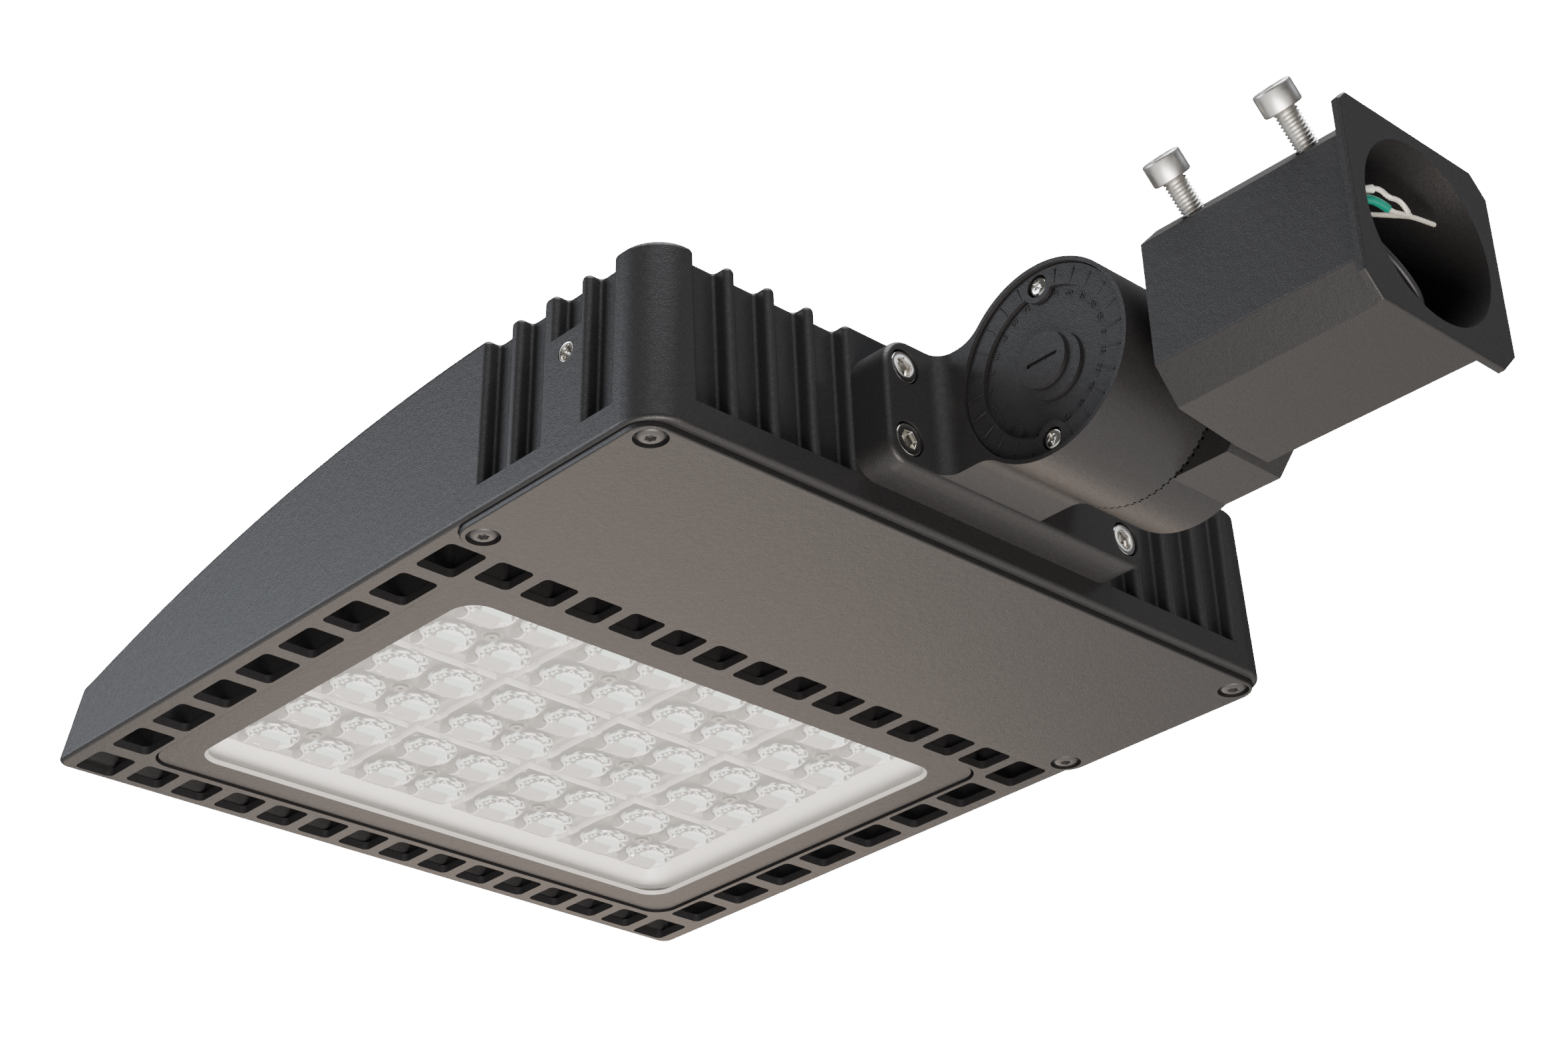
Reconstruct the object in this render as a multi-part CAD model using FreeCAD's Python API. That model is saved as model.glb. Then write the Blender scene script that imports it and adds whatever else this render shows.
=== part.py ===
import FreeCAD, Part
import math
import os

from FreeCAD import Vector

# An LED street light head: a die-cast head with its lens window, driver box and vents,
# hung by a toothed knuckle from a socket that slips over a pole's tenon.
#
# All sizes are in millimetres. The pieces are drawn with the head's rear wall at y = 0, its
# vent face at z = 0 and the protractor cap on the +X side. Each is moved as it is written,
# so that the origin lies on the socket's axis, in the middle of its mouth.

# Head casting
head_width = 300.0
head_length = 330.0
head_height = 66.0
nose_height = 25.0
nose_setback = 11.7
side_lean = 3.0
flat_top = 70.0
front_corner = 5.0
rear_corner = 14.0
casting_wall = 3.5
vent_plate = 3.2
crown_round = 2.0
foot_round = 1.5

# Vent openings round the window, and the fins that stand between them
vent_pitch = 19.3
vent_columns = 15
vent_end_x = 135.8
vent_width = 14.6
end_vent_width = 15.6
side_vent_width = 15.2
vent_corner = 2.2
front_vent_y = -316.6
front_vent_length = 15.6
front_end_vent_y = -317.2
front_end_vent_length = 17.6
rear_vent_y = -111.0
rear_vent_length = 15.2
rear_end_vent_y = -113.4
rear_end_vent_length = 19.2
side_vent_y = -139.0
side_vent_pitch = 25.5
side_vent_count = 7
side_vent_length = 19.6
fin_thickness = 2.6

# Lamp window
window_y = -213.2
recess_half_x = 126.2
recess_half_y = 92.6
recess_corner = 9.5
pan_web = 1.8
pan_ceiling = 14.6
pan_roof = 5.4
frame_gap = 1.0
frame_sink = 0.8
frame_lip = 1.4
window_half_x = 113.2
window_half_y = 80.8
window_corner = 10.0
glass_thickness = 3.0
glass_margin = 8.8
glass_play = 0.4
seal_thickness = 1.0
seal_width = 2.8

# Reflector tray, board and lens modules
tray_sheet = 0.8
tray_draw = 3.8
tray_flare = 4.2
tray_play = 0.5
tray_stand = 0.2
board_thickness = 1.6
board_play = 0.8
module_columns = 4
module_rows = 3
module_pitch_x = 53.6
module_pitch_y = 52.0
module_size_x = 49.5
module_size_y = 48.0
module_corner = 2.0
lens_plate = 3.0
lens_pitch_x = 24.5
lens_pitch_y = 25.0
lens_height = 4.2
lens_base = 7.2
lens_lobe = 3.2
chip_size = 3.0
chip_height = 0.65
chip_pocket = 2.6

# Driver box and its cover
partition_play = 0.6
box_half_x = 131.0
box_front_y = -93.5
box_rear_y = -12.0
box_corner = 8.0
box_roof = 5.0
cover_half_x = 148.2
cover_front_y = -99.4
cover_rear_y = -4.0
cover_corner = 9.0
cover_thickness = 3.0
cover_sink = 1.0
cover_gap = 0.5
cover_edge = 0.6
cover_seal_width = 3.0
cover_seal_depth = 1.5
cover_seal_offset = 1.5
cover_screw_x = 140.0
cover_screw_rear_y = -11.0
cover_screw_front_y = -91.6
cover_screw_cup = 11.5
cover_screw_sink = 2.0
cover_screw_length = 11.0
cover_screw_depth = 12.0

# What hangs from the driver box's roof: size, place of its middle, and tab length and sheet
driver_size = (150.0, 60.0, 34.0)
driver_place = (-35.0, -60.0)
driver_tab = (12.0, 3.0)
surge_size = (46.0, 28.0, 24.0)
surge_place = (88.0, -74.0)
terminal_size = (34.0, 20.0, 18.0)
terminal_place = (88.0, -34.0)
small_tab = (8.0, 2.5)
case_corner = 3.0
tab_share = 0.6

# Grooves in the rear and side walls
groove_floor = 10.0
rear_groove_first = 70.0
rear_groove_pitch = 17.6
rear_groove_count = 4
rear_groove_width = 13.2
rear_groove_depth = 6.0
side_groove_y = (-76.0, -59.2, -25.2)
side_groove_width = 11.5
side_groove_depth = 5.5
short_groove_y = -41.2
short_groove_floor = 47.8
rib_round = 2.15
groove_round = 1.2

# Threaded inserts in the side walls
insert_z = 40.6
insert_radius = 3.6
insert_length = 12.0
insert_floor = 1.5

# Bracket and knuckle
flange_half_x = 62.0
flange_bottom = 9.0
flange_top = 56.0
flange_thickness = 15.5
flange_low_corner = 8.0
flange_high_corner = 12.0
flange_edge = 1.8
flange_seal = 1.5
flange_seal_inset = 4.0
flange_seal_corner = 1.5
bolt_x = 52.6
bolt_low_z = 18.9
bolt_high_z = 46.0
bolt_cup = 12.7
bolt_cup_depth = 3.7
bolt_length = 27.0
bolt_hole_depth = 18.0
boss_radius = 7.0
boss_length = 12.0
neck_round = 5.8
neck_drop = 1.0
neck_sink = 4.0
neck_blend = 14.0
knuckle_y = 58.3
knuckle_z = 34.7
knuckle_radius = 35.0
knuckle_left = 36.2
joint_x = -8.0
knuckle_right = -35.0
joint_gap = 0.1
chamber_radius = 24.0
bracket_web_x = 12.0
knuckle_web = 5.0
washer_radius = 10.5
washer_thickness = 2.0
nut_corner_radius = 9.8
nut_height = 8.0
bolt_past_nut = 3.0
pivot_head_sink = 1.0
pivot_head_room = 1.5
tooth_count = 72
tooth_depth = 0.8
tooth_length = 5.0
tooth_run_out = 0.2
tooth_share = 0.5
tooth_stagger = 0.5
wire_x = 2.0
wire_z = 32.0
wire_radius = 7.0
wire_hole_y = 48.0
grommet_collar = 3.0
grommet_plate = 2.0
grommet_wall = 2.5

# Protractor cap, in a recess of the knuckle's end: a scale ring, a sunk dial with bosses
# round its screws, and in the middle a knob over a larger disc that stands off centre
cap_seat_depth = 5.0
cap_rim = 1.5
cap_play = 0.3
cap_thickness = 3.5
dial_radius = 26.0
dial_depth = 1.4
boss_ring = 6.0
disc_radius = 11.5
disc_offset = (3.0, -3.0)
disc_height = 1.2
knob_radius = 9.7
knob_height = 1.4
mark_length = 12.5
mark_width = 1.6
mark_depth = 0.8
cap_screw_radius = 28.2
cap_screw_length = 9.0
cap_screw_depth = 8.0

# Slipfitter
socket_mouth = 181.0
socket_front = 96.8
front_lean = 4.2
socket_floor = 5.0
socket_half_x = 34.75
socket_half_z = 32.7
socket_chamfer = 10.8
socket_edge = 1.0
bore_radius = 31.0
end_flange_thickness = 2.8
end_flange_half_x = 37.6
end_flange_half_z = 36.0
end_flange_chamfer = 7.3
end_flange_cap_chamfer = 4.2
end_flange_edge = 0.9
arm_end = 102.5
arm_bevel = 9.5
duct_width = 7.0
duct_height = 24.0
duct_wall = 4.0
duct_grommet_length = 4.0

# Clamp screws, square to the socket's upper chamfer on the +X side
clamp_screw_y = (117.9, 162.0)
clamp_head_stand = (52.1, 53.5)
clamp_shank = 20.0

# Leads that wait in the socket for the pole's supply: each is a list of the points that its
# insulated length turns at, then those of its stripped end, as x, y and height over the axis
lead_radius = 1.4
strand_radius = 0.85
lead_bend_share = 0.45
lead_routes = {
    "lead_white": (
        [(-15.6, 100.0, 6.5), (-15.6, 118.0, 6.7), (-13.0, 134.0, 6.3), (-3.0, 146.0, 5.6),
         (9.5, 154.0, 5.0), (21.0, 157.8, 5.0), (26.6, 163.6, 6.0), (26.0, 170.6, 7.4),
         (22.6, 173.6, 8.9), (18.6, 175.7, 10.2)],
        [(18.6, 175.7, 10.2), (16.6, 176.75, 10.85), (13.6, 177.7, 8.2), (9.4, 177.8, 9.5),
         (6.0, 177.8, 8.9), (4.1, 177.8, 6.9)]),
    "lead_green": (
        [(-15.6, 100.0, 0.0), (-15.6, 118.0, -0.3), (-12.5, 132.5, 0.0), (-2.0, 144.0, 0.2),
         (10.3, 152.6, 0.3), (21.8, 157.0, 1.0), (27.3, 162.5, 2.4), (27.6, 169.6, 4.2),
         (22.6, 174.6, 5.7), (17.2, 176.0, 6.3), (11.6, 175.5, 6.5)],
        [(11.6, 175.5, 6.5), (8.8, 175.25, 6.6), (5.0, 175.3, 7.6), (-0.4, 175.5, 9.3)]),
    "lead_black": (
        [(-15.6, 100.0, -7.0), (-15.6, 118.5, -7.6), (-13.0, 133.0, -15.0),
         (-9.0, 146.0, -22.0), (-5.0, 158.5, -26.2), (-2.5, 169.5, -27.0), (3.5, 177.0, -24.5),
         (13.0, 178.2, -18.5), (21.0, 176.8, -12.5), (27.0, 175.0, -7.0)],
        [(27.0, 175.0, -7.0), (28.6, 174.52, -5.53), (27.4, 173.4, -2.4), (20.5, 173.0, 1.8),
         (7.0, 173.0, 7.3), (-4.6, 173.0, 12.2), (-11.0, 173.2, 13.4), (-17.6, 173.0, 14.9)]),
}

# Fits
running_play = 0.05
hole_play = 0.4
blind_floor = 1.2
tip_room = 0.6

# Screws: thread radius, head radius, head height, key radius
M8_CAP = (4.0, 6.5, 8.0, 3.4)
M6_BUTTON = (3.0, 5.85, 3.3, 2.2)
M10_CAP = (5.0, 8.0, 10.0, 4.6)
M5_PAN = (2.5, 4.6, 1.9, 1.6)
M4_PAN = (2.0, 3.6, 2.2, 1.4)
M3_PAN = (1.25, 2.6, 1.8, 1.0)
dome_share = 0.55
key_depth_share = 0.5

# How far a cutting shape runs past the face that it cuts, and how upright a top face's
# normal is
past = 1.0
top_facing = 0.7

# What follows from the sizes above
nose_slope = nose_setback / nose_height
lean_slope = math.tan(math.radians(side_lean))
crown_reach = head_length - nose_setback - flat_top
crown_drop = head_height - nose_height
crown_radius = (crown_reach ** 2 + crown_drop ** 2) / (2 * crown_drop)
partition_y = rear_vent_y + rear_vent_length / 2 + partition_play
pan_half_x = recess_half_x + pan_web
pan_half_y = recess_half_y + pan_web
pan_top = pan_ceiling + pan_roof
glass_bottom = frame_sink + frame_lip
glass_top = glass_bottom + glass_thickness
frame_top = glass_top + seal_thickness
board_bottom = pan_ceiling - board_thickness
lens_bottom = board_bottom - lens_plate
box_top = head_height - box_roof
cover_bottom = cover_sink - cover_thickness
socket_end = socket_mouth - end_flange_thickness
bore_floor = socket_front + front_lean + socket_floor
slip_face_x = joint_x - joint_gap
slip_web_x = knuckle_right + M10_CAP[2] + pivot_head_sink
nut_seat_x = bracket_web_x + knuckle_web + washer_thickness
cap_seat_x = knuckle_left - cap_seat_depth
cap_radius = knuckle_radius - cap_rim - cap_play
chamfer_reach = (socket_half_x + socket_half_z - socket_chamfer) / math.sqrt(2)

UP = Vector(0, 0, 1)
LEFT = Vector(1, 0, 0)
REAR = Vector(0, 1, 0)
PIECES = {}


# Shapes that several pieces share

def outline(half_x, front, rear, front_r, rear_r, z):
    """A rectangle in plan with rounded corners, as a wire at height z."""
    corners = ((half_x, front, front_r, 1, -1), (half_x, rear, rear_r, 1, 1),
               (-half_x, rear, rear_r, -1, 1), (-half_x, front, front_r, -1, -1))
    edges = []
    first = last = None
    for index, (x, y, r, sx, sy) in enumerate(corners):
        centre = Vector(x - sx * r, y - sy * r, z)
        along_x = Vector(x - sx * r, y, z)
        along_y = Vector(x, y - sy * r, z)
        bend = centre + Vector(sx, sy, 0) * (r / math.sqrt(2))
        start, end = (along_x, along_y) if index % 2 == 0 else (along_y, along_x)
        if last is not None:
            edges.append(Part.LineSegment(last, start).toShape())
        else:
            first = start
        edges.append(Part.Arc(start, bend, end).toShape())
        last = end
    edges.append(Part.LineSegment(last, first).toShape())
    return Part.Wire(edges)


def slab(half_x, front, rear, r, z0, z1):
    """A plate with rounded corners in plan, from z0 to z1."""
    wire = outline(half_x, front, rear, r, r, z0)
    return Part.Face(wire).extrude(UP * (z1 - z0))


def centred_slab(half_x, half_y, r, z0, z1):
    """The same plate about the window's middle."""
    return slab(half_x, window_y - half_y, window_y + half_y, r, z0, z1)


def ring(half_x, half_y, r, width, z0, z1):
    """A closed band about the window's middle, width wide outside the given half sizes."""
    outer = centred_slab(half_x + width, half_y + width, r + width, z0, z1)
    return outer.cut(centred_slab(half_x, half_y, r, z0, z1))


def box(x0, x1, y0, y1, z0, z1):
    return Part.makeBox(x1 - x0, y1 - y0, z1 - z0, Vector(x0, y0, z0))


def rod(r, start, end):
    """A round bar between two points."""
    return Part.makeCylinder(r, (end - start).Length, start, end - start)


def drawn_box(half_x0, half_y0, r0, z0, half_x1, half_y1, r1, z1):
    """A tapered box about the window's middle, between two rounded outlines."""
    low = outline(half_x0, window_y - half_y0, window_y + half_y0, r0, r0, z0)
    high = outline(half_x1, window_y - half_y1, window_y + half_y1, r1, r1, z1)
    return Part.makeLoft([low, high], True, True)


def polygon(points):
    return Part.Face(Part.makePolygon(points + [points[0]]))


def moved(shape, start, direction):
    """Turns a shape that stands on the origin along +Z to a direction, and moves it."""
    turn = FreeCAD.Rotation(UP, direction)
    copy = shape.copy()
    copy.Placement = FreeCAD.Placement(start, turn)
    return copy


def screw(kind, length, start, direction, domed=False):
    """A screw whose head's underside is at start and whose shank runs along direction."""
    thread_r, head_r, head_h, key_r = kind
    head = Part.makeCylinder(head_r, head_h, Vector(0, 0, -head_h))
    if domed:
        rim = [e for e in head.Edges if abs(e.BoundBox.ZMax + head_h) < 1e-6
               and e.Length > head_r]
        head = head.makeFillet(head_h * dome_share, rim)
    key = Part.Face(Part.makePolygon([
        Vector(key_r * math.cos(a), key_r * math.sin(a), -head_h)
        for a in [math.radians(60 * k) for k in range(7)]]))
    body = head.fuse(Part.makeCylinder(thread_r, length))
    body = body.cut(key.extrude(UP * head_h * key_depth_share))
    return moved(body.removeSplitter(), start, direction)


def node(name, *shapes):
    PIECES[name] = list(shapes)


# Head casting

def head_form(inset, z0, z1):
    """The head's outer form drawn in by inset, between two heights, before its crown is cut."""
    wires = []
    for z in (z0, z1):
        half_x = head_width / 2 - z * lean_slope - inset
        front = -head_length + z * nose_slope + inset
        wires.append(outline(half_x, front, -inset, front_corner - inset,
                             rear_corner - inset, z))
    return Part.makeLoft(wires, True, True)


def under_crown(drop=0.0):
    """All that lies under the head's top line: flat over the driver box, then one long arc."""
    top = head_height - drop
    nose_y = -head_length + nose_setback
    arc_centre = top - crown_radius
    half_way = math.asin(crown_reach / crown_radius) / 2
    nose = Vector(-head_width, nose_y, nose_height - drop)
    bend = Vector(-head_width, -flat_top - crown_radius * math.sin(half_way),
                  arc_centre + crown_radius * math.cos(half_way))
    back = Vector(-head_width, -flat_top, top)
    far = head_length + past
    points = [Vector(-head_width, past, top), Vector(-head_width, past, -past),
              Vector(-head_width, -far, -past), Vector(-head_width, -far, nose_height - drop),
              nose]
    edges = [Part.LineSegment(a, b).toShape() for a, b in zip(points, points[1:])]
    edges.append(Part.Arc(nose, bend, back).toShape())
    edges.append(Part.LineSegment(back, points[0]).toShape())
    return Part.Face(Part.Wire(edges)).extrude(LEFT * (2 * head_width))


def vents():
    """Where each vent is: middle x, middle y, width and length."""
    last = vent_columns // 2
    places = []
    for column in range(-last + 1, last):
        places.append((column * vent_pitch, front_vent_y, vent_width, front_vent_length))
        places.append((column * vent_pitch, rear_vent_y, vent_width, rear_vent_length))
    for x in (-vent_end_x, vent_end_x):
        places.append((x, front_end_vent_y, end_vent_width, front_end_vent_length))
        places.append((x, rear_end_vent_y, end_vent_width, rear_end_vent_length))
        for row in range(side_vent_count):
            places.append((x, side_vent_y - row * side_vent_pitch, side_vent_width,
                           side_vent_length))
    return places


def vent_tools():
    tools = []
    for x, y, width, length in vents():
        tool = slab(width / 2, y - length / 2, y + length / 2, vent_corner, -past,
                    vent_plate + past)
        tools.append(tool.translated(Vector(x, 0, 0)))
    return tools


def groove(width, depth, floor_z):
    """A groove for a wall at y = 0, with rounded ribs at both sides, open at the top."""
    half = width / 2
    r = rib_round
    inner = groove_round
    out = r - r / math.sqrt(2)
    turn = inner - inner / math.sqrt(2)
    path = [Vector(-half - r, past, 0), Vector(-half - r, 0, 0), Vector(-half, -r, 0),
            Vector(-half, -depth + inner, 0), Vector(-half + inner, -depth, 0)]
    bends = {1: Vector(-half - out, -out, 0), 3: Vector(-half + turn, -depth + turn, 0)}
    edges = []
    for index, (start, end) in enumerate(zip(path, path[1:])):
        if index in bends:
            edges.append(Part.Arc(start, bends[index], end).toShape())
        else:
            edges.append(Part.LineSegment(start, end).toShape())
    mirrored = [edge.mirror(Vector(0, 0, 0), LEFT) for edge in edges]
    floor = Part.LineSegment(path[-1], Vector(-path[-1].x, path[-1].y, 0)).toShape()
    mouth = Part.LineSegment(path[0], Vector(-path[0].x, path[0].y, 0)).toShape()
    outline_wire = Part.Wire(Part.__sortEdges__(edges + [floor] + mirrored + [mouth]))
    tool = Part.Face(outline_wire).extrude(UP * head_height)
    return tool.translated(Vector(0, 0, floor_z))


def groove_tools():
    tools = []
    for index in range(rear_groove_count):
        x = rear_groove_first + index * rear_groove_pitch
        tool = groove(rear_groove_width, rear_groove_depth, groove_floor)
        tools.append(tool.translated(Vector(x, 0, 0)))
        tools.append(tool.translated(Vector(-x, 0, 0)))
    floors = [(y, groove_floor) for y in side_groove_y] + [(short_groove_y, short_groove_floor)]
    for y, floor_z in floors:
        for side in (1, -1):
            tool = groove(side_groove_width, side_groove_depth, floor_z)
            tool.rotate(Vector(0, 0, 0), UP, -90 * side)
            tool.rotate(Vector(0, 0, 0), REAR, -side_lean * side)
            tools.append(tool.translated(Vector(side * head_width / 2, y, 0)))
    return tools


def box_hollow(z0, z1, grow=0.0):
    return slab(box_half_x + grow, box_front_y - grow, box_rear_y + grow, box_corner + grow,
                z0, z1)


def cover_screw_places():
    return [(x, y) for x in (-cover_screw_x, cover_screw_x)
            for y in (cover_screw_front_y, cover_screw_rear_y)]


def bolt_places():
    return [(x, z) for x in (-bolt_x, bolt_x) for z in (bolt_low_z, bolt_high_z)]


def insert_face_x():
    return head_width / 2 - insert_z * lean_slope


def make_housing():
    outer = head_form(0.0, 0.0, head_height).common(under_crown()).cut(groove_tools())
    outer = outer.makeFillet(crown_round, crown_rims(outer))
    foot = [e for e in outer.Edges if e.BoundBox.ZMax < 1e-4]
    outer = outer.makeFillet(foot_round, foot)

    chamber = head_form(casting_wall, vent_plate, head_height + past)
    chamber = chamber.common(box(-head_width, head_width, -head_length, partition_y,
                                 vent_plate, head_height + past))
    body = outer.cut(chamber)

    parts = [centred_slab(pan_half_x, pan_half_y, recess_corner + pan_web, past, pan_top)]
    for index in range(vent_columns - 1):
        x = (index - vent_columns / 2 + 1) * vent_pitch
        fin = box(x - fin_thickness / 2, x + fin_thickness / 2, -head_length,
                  partition_y + past, vent_plate - past, head_height)
        parts.append(fin.common(outer))
    body = body.fuse(parts)

    hollows = [centred_slab(recess_half_x, recess_half_y, recess_corner, -past, frame_top)]
    hollows.append(centred_slab(*pan_cavity(), 0, pan_ceiling))
    hollows.append(slab(cover_half_x + cover_gap, cover_front_y - cover_gap,
                        cover_rear_y + cover_gap, cover_corner + cover_gap, -past, cover_sink))
    hollows.append(box_hollow(0, box_top))
    body = body.cut(hollows)

    bosses = [rod(boss_radius, Vector(x, box_rear_y - boss_length, z), Vector(x, -past, z))
              for x, z in bolt_places()]
    body = body.fuse(bosses)
    body = body.cut(vent_tools())
    body = body.cut(housing_holes())
    return body.removeSplitter()


def middle_of(face):
    u0, u1, v0, v1 = face.ParameterRange
    return (u0 + u1) / 2, (v0 + v1) / 2


def crown_rims(solid):
    """The edges round the head's top, without the line between its flat part and its arc."""
    tops = [f for f in solid.Faces if f.normalAt(*middle_of(f)).z > top_facing
            and f.BoundBox.ZMax > head_height - foot_round]
    edges = [e for face in tops for e in face.Edges]
    return [e for e in edges if sum(1 for other in edges if other.isSame(e)) == 1]


def pan_cavity():
    """Half sizes and corner radius of the hollow that takes the tray."""
    grow = tray_flare + tray_sheet + tray_play
    return window_half_x + grow, window_half_y + grow, window_corner + grow


def housing_holes():
    """Screw holes, the cover seal's groove, insert pockets and the lead passage."""
    holes = []
    for x, y in cover_screw_places():
        holes.append(rod(M5_PAN[0] + running_play, Vector(x, y, 0),
                         Vector(x, y, cover_screw_depth)))
    for x, z in bolt_places():
        holes.append(rod(M6_BUTTON[0] + running_play, Vector(x, past, z),
                         Vector(x, -bolt_hole_depth, z)))
    for x, y in module_places():
        holes.append(rod(M3_PAN[0] + running_play, Vector(x, y, pan_ceiling - past),
                         Vector(x, y, pan_top - blind_floor)))
    for side in (1, -1):
        face = side * insert_face_x()
        holes.append(rod(insert_radius, Vector(face + side, short_groove_y, insert_z),
                         Vector(face - side * insert_length, short_groove_y, insert_z)))
    for x, y, _ in ceiling_screw_places():
        holes.append(rod(M4_PAN[0] + running_play, Vector(x, y, box_top - past),
                         Vector(x, y, head_height - blind_floor)))
    holes.append(rod(wire_radius, Vector(wire_x, past, wire_z),
                     Vector(wire_x, box_rear_y - past, wire_z)))
    holes.append(cover_seal(cover_sink - past, cover_sink + cover_seal_depth))
    return holes


def cover_seal(z0, z1):
    inner = cover_seal_offset
    outer = cover_seal_offset + cover_seal_width
    return box_hollow(z0, z1, outer).cut(box_hollow(z0, z1, inner))


# Lamp window, tray, board and lenses

def make_window():
    frame = centred_slab(recess_half_x - frame_gap, recess_half_y - frame_gap,
                         recess_corner - frame_gap, frame_sink, frame_top)
    pocket = glass_margin + glass_play
    frame = frame.cut([
        centred_slab(window_half_x, window_half_y, window_corner, 0, frame_top),
        centred_slab(window_half_x + pocket, window_half_y + pocket, window_corner + pocket,
                     glass_bottom, frame_top + past)])
    node("window_frame", frame)
    node("window_glass", centred_slab(window_half_x + glass_margin, window_half_y + glass_margin,
                                      window_corner + glass_margin, glass_bottom, glass_top))
    inner = glass_margin - seal_width
    node("window_seal", ring(window_half_x + inner, window_half_y + inner, window_corner + inner,
                             seal_width, glass_top, frame_top))


def make_tray():
    foot_x = window_half_x - tray_draw
    foot_y = window_half_y - tray_draw
    foot_r = window_corner - tray_draw / 2
    mouth_z = glass_top + tray_stand
    skins = []
    for grow in (tray_sheet, 0.0):
        mouth = tray_flare + grow
        skins.append(drawn_box(window_half_x + mouth, window_half_y + mouth,
                               window_corner + mouth, mouth_z, foot_x + grow, foot_y + grow,
                               foot_r + grow, pan_ceiling))
    node("reflector_tray", skins[0].cut(skins[1]))


def module_places():
    return [((column - (module_columns - 1) / 2) * module_pitch_x,
             window_y + (row - (module_rows - 1) / 2) * module_pitch_y)
            for row in range(module_rows) for column in range(module_columns)]


def lens_places(x, y):
    return [(x + sx * lens_pitch_x / 2, y + sy * lens_pitch_y / 2)
            for sx in (-1, 1) for sy in (-1, 1)]


def make_board():
    half_x = window_half_x - tray_draw - board_play
    half_y = window_half_y - tray_draw - board_play
    board = centred_slab(half_x, half_y, window_corner - tray_draw / 2, board_bottom, pan_ceiling)
    board = board.cut([rod(M3_PAN[0] + hole_play, Vector(x, y, board_bottom - past),
                           Vector(x, y, pan_ceiling + past)) for x, y in module_places()])
    node("led_board", board)
    chips = []
    half = chip_size / 2
    for x, y in module_places():
        for cx, cy in lens_places(x, y):
            chips.append(box(cx - half, cx + half, cy - half, cy + half,
                             board_bottom - chip_height, board_bottom))
    node("led_chips", *chips)


def lens_dome(x, y):
    """A two-lobed lens: two low caps side by side along X."""
    radius = (lens_base ** 2 + lens_height ** 2) / (2 * lens_height)
    middle = lens_bottom - lens_height + radius
    lobes = [Part.makeSphere(radius, Vector(x + s * lens_lobe, y, middle)) for s in (-1, 1)]
    room = 2 * lens_base
    keep = box(x - room, x + room, y - room, y + room, lens_bottom - lens_height - past,
               lens_bottom + past)
    return lobes[0].fuse(lobes[1]).common(keep)


def make_lens_modules():
    screws = []
    for index, (x, y) in enumerate(module_places()):
        plate = slab(module_size_x / 2, y - module_size_y / 2, y + module_size_y / 2,
                     module_corner, lens_bottom, board_bottom).translated(Vector(x, 0, 0))
        plate = plate.fuse([lens_dome(cx, cy) for cx, cy in lens_places(x, y)])
        cuts = [Part.makeSphere(chip_pocket, Vector(cx, cy, board_bottom))
                for cx, cy in lens_places(x, y)]
        cuts.append(rod(M3_PAN[0] + hole_play, Vector(x, y, lens_bottom - past),
                        Vector(x, y, board_bottom + past)))
        node("lens_module_%02d" % (index + 1), plate.cut(cuts).removeSplitter())
        reach = pan_top - blind_floor - tip_room - lens_bottom
        screws.append(screw(M3_PAN, reach, Vector(x, y, lens_bottom), UP))
    node("lens_screws", *screws)


# Driver box: cover, seal and what hangs from the roof inside

def roof_box(size, place, tab):
    """A closed box on the driver box's roof, with a tab at each end for its screws."""
    x, y = place
    half_x, half_y = size[0] / 2, size[1] / 2
    case = slab(half_x, y - half_y, y + half_y, case_corner, box_top - size[2], box_top)
    case = case.fuse(box(-half_x - tab[0], half_x + tab[0], y - half_y * tab_share,
                         y + half_y * tab_share, box_top - tab[1], box_top))
    case = case.translated(Vector(x, 0, 0))
    holes = [rod(M4_PAN[0] + hole_play, Vector(px, py, box_top - tab[1] - past),
                 Vector(px, py, box_top + past)) for px, py, _ in roof_screws(size, place, tab)]
    return case.cut(holes).removeSplitter()


def roof_screws(size, place, tab):
    reach = size[0] / 2 + tab[0] / 2
    return [(place[0] + side * reach, place[1], tab[1]) for side in (-1, 1)]


def roof_pieces():
    return {"driver": (driver_size, driver_place, driver_tab),
            "surge_protector": (surge_size, surge_place, small_tab),
            "terminal_block": (terminal_size, terminal_place, small_tab)}


def ceiling_screw_places():
    return [place for piece in roof_pieces().values() for place in roof_screws(*piece)]


def make_driver_box():
    cover = slab(cover_half_x, cover_front_y, cover_rear_y, cover_corner, cover_bottom, cover_sink)
    edge = [e for e in cover.Edges if abs(e.BoundBox.ZMax - cover_bottom) < 1e-6]
    cover = cover.makeFillet(cover_edge, edge)
    cup_top = cover_bottom + cover_screw_sink
    holes, screws = [], []
    for x, y in cover_screw_places():
        holes.append(rod(cover_screw_cup / 2, Vector(x, y, cover_bottom - past),
                         Vector(x, y, cup_top)))
        holes.append(rod(M5_PAN[0] + hole_play, Vector(x, y, cup_top - past),
                         Vector(x, y, cover_sink + past)))
        screws.append(screw(M5_PAN, cover_screw_length, Vector(x, y, cup_top), UP))
    node("driver_cover", cover.cut(holes))
    node("cover_screws", *screws)
    node("cover_seal", cover_seal(cover_sink, cover_sink + cover_seal_depth))
    for name, (size, place, tab) in roof_pieces().items():
        node(name, roof_box(size, place, tab))
    tip = head_height - blind_floor - tip_room
    node("roof_screws", *[screw(M4_PAN, tip - box_top + tab, Vector(x, y, box_top - tab), UP)
                          for x, y, tab in ceiling_screw_places()])


def make_inserts():
    inserts = []
    for side in (1, -1):
        face = Vector(side * insert_face_x(), short_groove_y, insert_z)
        inward = Vector(-side, 0, 0)
        start = face + inward * (insert_radius * lean_slope)
        insert = rod(insert_radius, start, face + inward * insert_length)
        bore = rod(M6_BUTTON[0], start - inward, face + inward * (insert_length - insert_floor))
        inserts.append(insert.cut(bore))
    node("side_insert_left", inserts[0])
    node("side_insert_right", inserts[1])


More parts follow.
